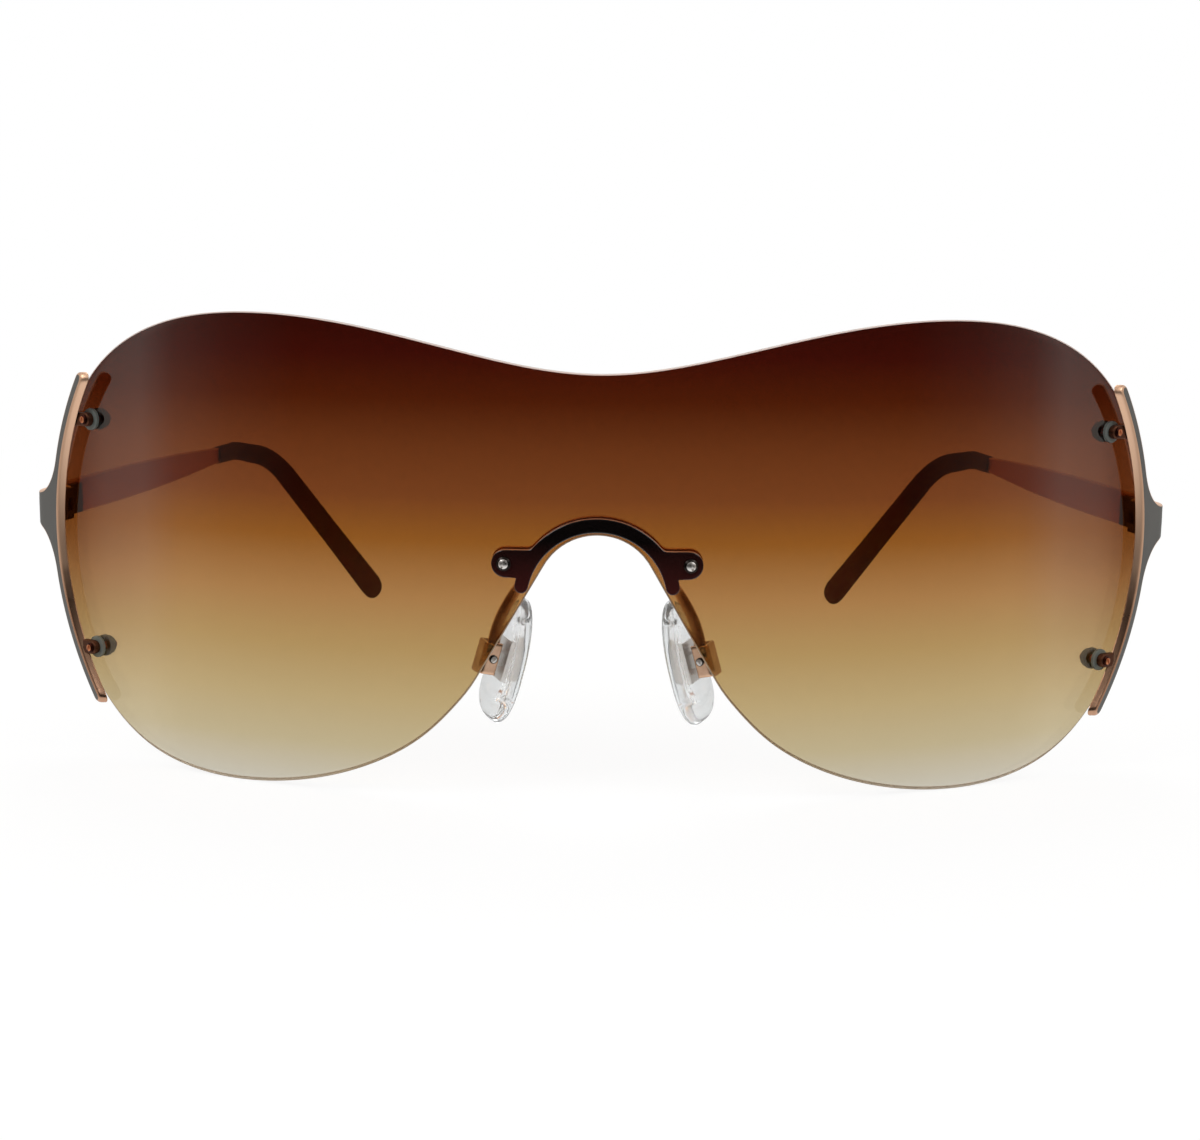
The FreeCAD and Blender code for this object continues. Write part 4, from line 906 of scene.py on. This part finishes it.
def padParts():
    # an oval outline that shrinks to a pole on each face, by shares of its reach and of half the thickness
    angle = np.linspace(0, 2 * math.pi, pad["columns"], endpoint=False)[None]
    cosine, sine = np.cos(angle), np.sin(angle)
    reach = np.array(pad["reachShares"])
    deep = np.array(pad["deepShares"]) * pad["thickness"] / 2
    reach = np.concatenate([reach, reach[::-1][1:]])[:, None]
    deep = np.concatenate([deep, -deep[::-1][1:]])[:, None]
    full = np.where(sine < 0, pad["lowSquare"], pad["highSquare"])
    fuller = 1 + pad["fuller"] * np.clip(-sine, 0, 1) * (cosine > 0)
    across = np.sign(cosine) * abs(cosine) ** full * (1 - pad["taper"] * sine) * fuller
    along = np.sign(sine) * abs(sine) ** full
    local = joined(deep, pad["width"] / 2 * across * reach, pad["length"] / 2 * along * reach)
    return [gridPart(inPad(local), 0, True)]


for word, flip in sides.items():
    makePiece("nosePad." + word, padParts(), [clearPad], "pad_" + word, ["nose_pad_" + word],
              flip, sharp=30)
print("nose pads made")


# Pad boxes and wires: a folded channel that holds the pad's eye, and a flattened wire from the bridge's leg

box = {"mouth": 1.8, "back": 3.9, "half": 1.3, "rise": 2.0, "corner": 0.6, "wall": 0.5, "edge": 0.16,
       "columns": 71, "rows": 13}
wire = {"width": 1.4, "thickness": 1.0, "columns": 28, "perSpan": 16, "closeShare": 0.02,
        "swellAt": [0, 0.25, 0.6, 1], "swell": [0.5, 0.85, 1.0, 1.0], "leave": (0, 1.0, 0),
        "arrive": (0.1, 0.2, -0.97), "route": [(8.6, 3.0, 25.7), (9.0, 4.9, 25.0), (10.75, 6.6, 21.9),
                                               (11.85, 7.6, 19.1), (12.25, 7.95, 17.2)]}


def boxOutline():
    # plan of the folded sheet, its direction at each point and its length so far
    wallSteps, cornerSteps, backSteps = 20, 12, 6
    corner, half = box["corner"], box["half"]
    bend = box["back"] - corner
    turns = [arcRun((bend, sign * (half - corner)), corner, first, first + math.pi / 2, cornerSteps)
             for sign, first in ((-1, -math.pi / 2), (1, 0))]
    path = chain([lineRun((box["mouth"], -half), (bend, -half), wallSteps), turns[0],
                  lineRun(turns[0][-1], turns[1][0], backSteps), turns[1],
                  lineRun((bend, half), (box["mouth"], half), wallSteps)])[0]
    return path, unit(np.gradient(path, axis=0)), lengthsOf(path)


def onBox(along, rise, depth):
    # how far along its bent outline, how high, how deep under its outer face
    path, way, length = boxOutline()
    out = np.interp(along, length, path[:, 0]) - depth * np.interp(along, length, way[:, 1])
    rear = np.interp(along, length, path[:, 1]) + depth * np.interp(along, length, way[:, 0])
    return inPad(joined(out, rear, rise))


def boxParts():
    length = boxOutline()[2][-1]
    low = lineRun((0, -box["rise"]), (length, -box["rise"]), box["columns"] - 1)
    first = lineRun(low[0], (0, box["rise"]), box["rows"] - 1)
    parts = sheet(low, low * [1, -1], first, first + [length, 0], onBox, box["wall"], box["edge"])
    return [(points, quads, 0) for points, quads, _ in parts]


def wireParts():
    # flattened ring carried along a smooth route, closed at both ends
    line = smoothCurve(np.array(wire["route"], float), wire["leave"], wire["arrive"], wire["perSpan"])
    share = np.linspace(0, 1, len(line))
    close = np.clip(np.minimum(share, 1 - share) / wire["closeShare"], 0, 1)
    swell = np.interp(share, wire["swellAt"], wire["swell"])
    ring = tube(line, (1, 0, 0), wire["width"] / 2 * close * swell, wire["thickness"] / 2 * close,
                wire["columns"])
    return [gridPart(ring, 0, True)]


for word, flip in sides.items():
    makePiece("padBox." + word, boxParts(), [polishedGold], "front", ["pad_box_" + word], flip)
    makePiece("padWire." + word, wireParts(), [wireGold], "front", ["pad_arm_" + word], flip)
print("pad boxes and wires made")


# Screws: a turned shank and a slotted head with a steep flank in dark steel, a painted dark reflection

screw = {"shank": 0.6, "head": 0.8, "top": 0.54, "rise": 0.55, "flank": 0.22, "slot": 0.2, "slotDepth": 0.24,
         "length": 4.6}
sideScrew = {"shank": 0.5, "head": 0.6, "top": 0.42, "rise": 0.4, "flank": 0.2, "slot": 0.17,
             "slotDepth": 0.12, "length": 4.6}
padScrew = {"shank": 0.35, "head": 0.5, "top": 0.38, "rise": 0.3, "flank": 0.16, "slot": 0.18,
            "slotDepth": 0.14, "length": 2.6, "seat": (2.6, -1.3, 0), "slotTurn": (0.8, 0.6)}
head = {"dome": 0.45, "slotWall": 0.04, "slotReach": 0.95, "slotSlant": 25, "sideLines": 7, "slotLines": 13}


def screwParts(kind, middle, across, upward, outward):
    # the top is a square grid pressed into a disc and lowered along the slot; rings below it go out to the
    # flank and down the shank to a pole
    slot, wall, reach = kind["slot"], head["slotWall"], head["slotReach"]
    beside = np.linspace(slot + wall, 1, head["sideLines"])
    u = np.concatenate([-beside[::-1], [-slot, slot], beside])[None, :]
    v = np.linspace(-reach + wall / 2, reach - wall / 2, head["slotLines"])
    v = np.concatenate([[-1, -reach - wall / 2], v, [reach + wall / 2, 1]])[:, None]
    x = kind["top"] * u * np.sqrt(1 - v ** 2 / 2)
    y = kind["top"] * v * np.sqrt(1 - u ** 2 / 2)
    inSlot = (abs(u) < slot + wall / 4) * (abs(v) < reach)
    disc = joined(x, y, kind["rise"] - head["dome"] * (x ** 2 + y ** 2) - kind["slotDepth"] * inSlot)
    rim = np.concatenate([disc[0], disc[1:, -1], disc[-1, ::-1][1:], disc[1:-1, 0][::-1]])
    ways = unit(rim * [1, 1, 0])

    def ring(radius, height):
        return ways * radius + [0, 0, height]

    flank = np.stack([rim, ring(kind["head"], kind["flank"]), ring(kind["head"], 0.0)])
    shank = np.stack([ring(kind["head"], 0.0), ring(kind["shank"], 0.0),
                      ring(kind["shank"], -kind["length"]), ring(0.0, -kind["length"])])
    axes = np.stack([across, upward, outward])
    return [gridPart(disc @ axes + middle, 0), gridPart(flank @ axes + middle, 1, True),
            gridPart(shank @ axes + middle, 0, True)]


def lensScrew(kind, angle, height):
    # a screw through the lens's curve at an angle from the middle, its slot at a slant
    middle = np.array([lugFace * math.sin(angle), lens["radius"] - lugFace * math.cos(angle), height])
    slant = math.radians(head["slotSlant"])
    across = np.array([*(ray(angle) * math.cos(slant)), math.sin(slant)])
    outward = np.array([math.sin(angle), -math.cos(angle), 0])
    return screwParts(kind, middle, across, np.cross(outward, across), outward)


parts = lensScrew(screw, math.asin(bridge["screwReach"] / lens["radius"]), bridge["screwHeight"])
makePiece("bridgeScrews", parts + mirrored(parts), [steel, flankShadeSteel], "front", ["bridge_screws"],
          sharp=30)
parts = [part for height in screwHeights for part in lensScrew(sideScrew, screwAngle, height)]
makePiece("lensScrews", parts + mirrored(parts), [innerShadeGold, hingeShadeMetal], "front", ["lens_screws"],
          sharp=30)
padAxes = inPad(np.eye(3)) - inPad(np.zeros((1, 3)))
padSeat = inPad(np.array(padScrew["seat"]))
along, aside = padScrew["slotTurn"]
parts = screwParts(padScrew, padSeat, padAxes[0] * along + padAxes[2] * aside,
                   padAxes[2] * along - padAxes[0] * aside, -padAxes[1])
for word, flip in sides.items():
    makePiece("padScrew." + word, parts, [steel, flankShadeSteel], "front", ["pad_screw_" + word], flip,
              sharp=30)
print("screws made")
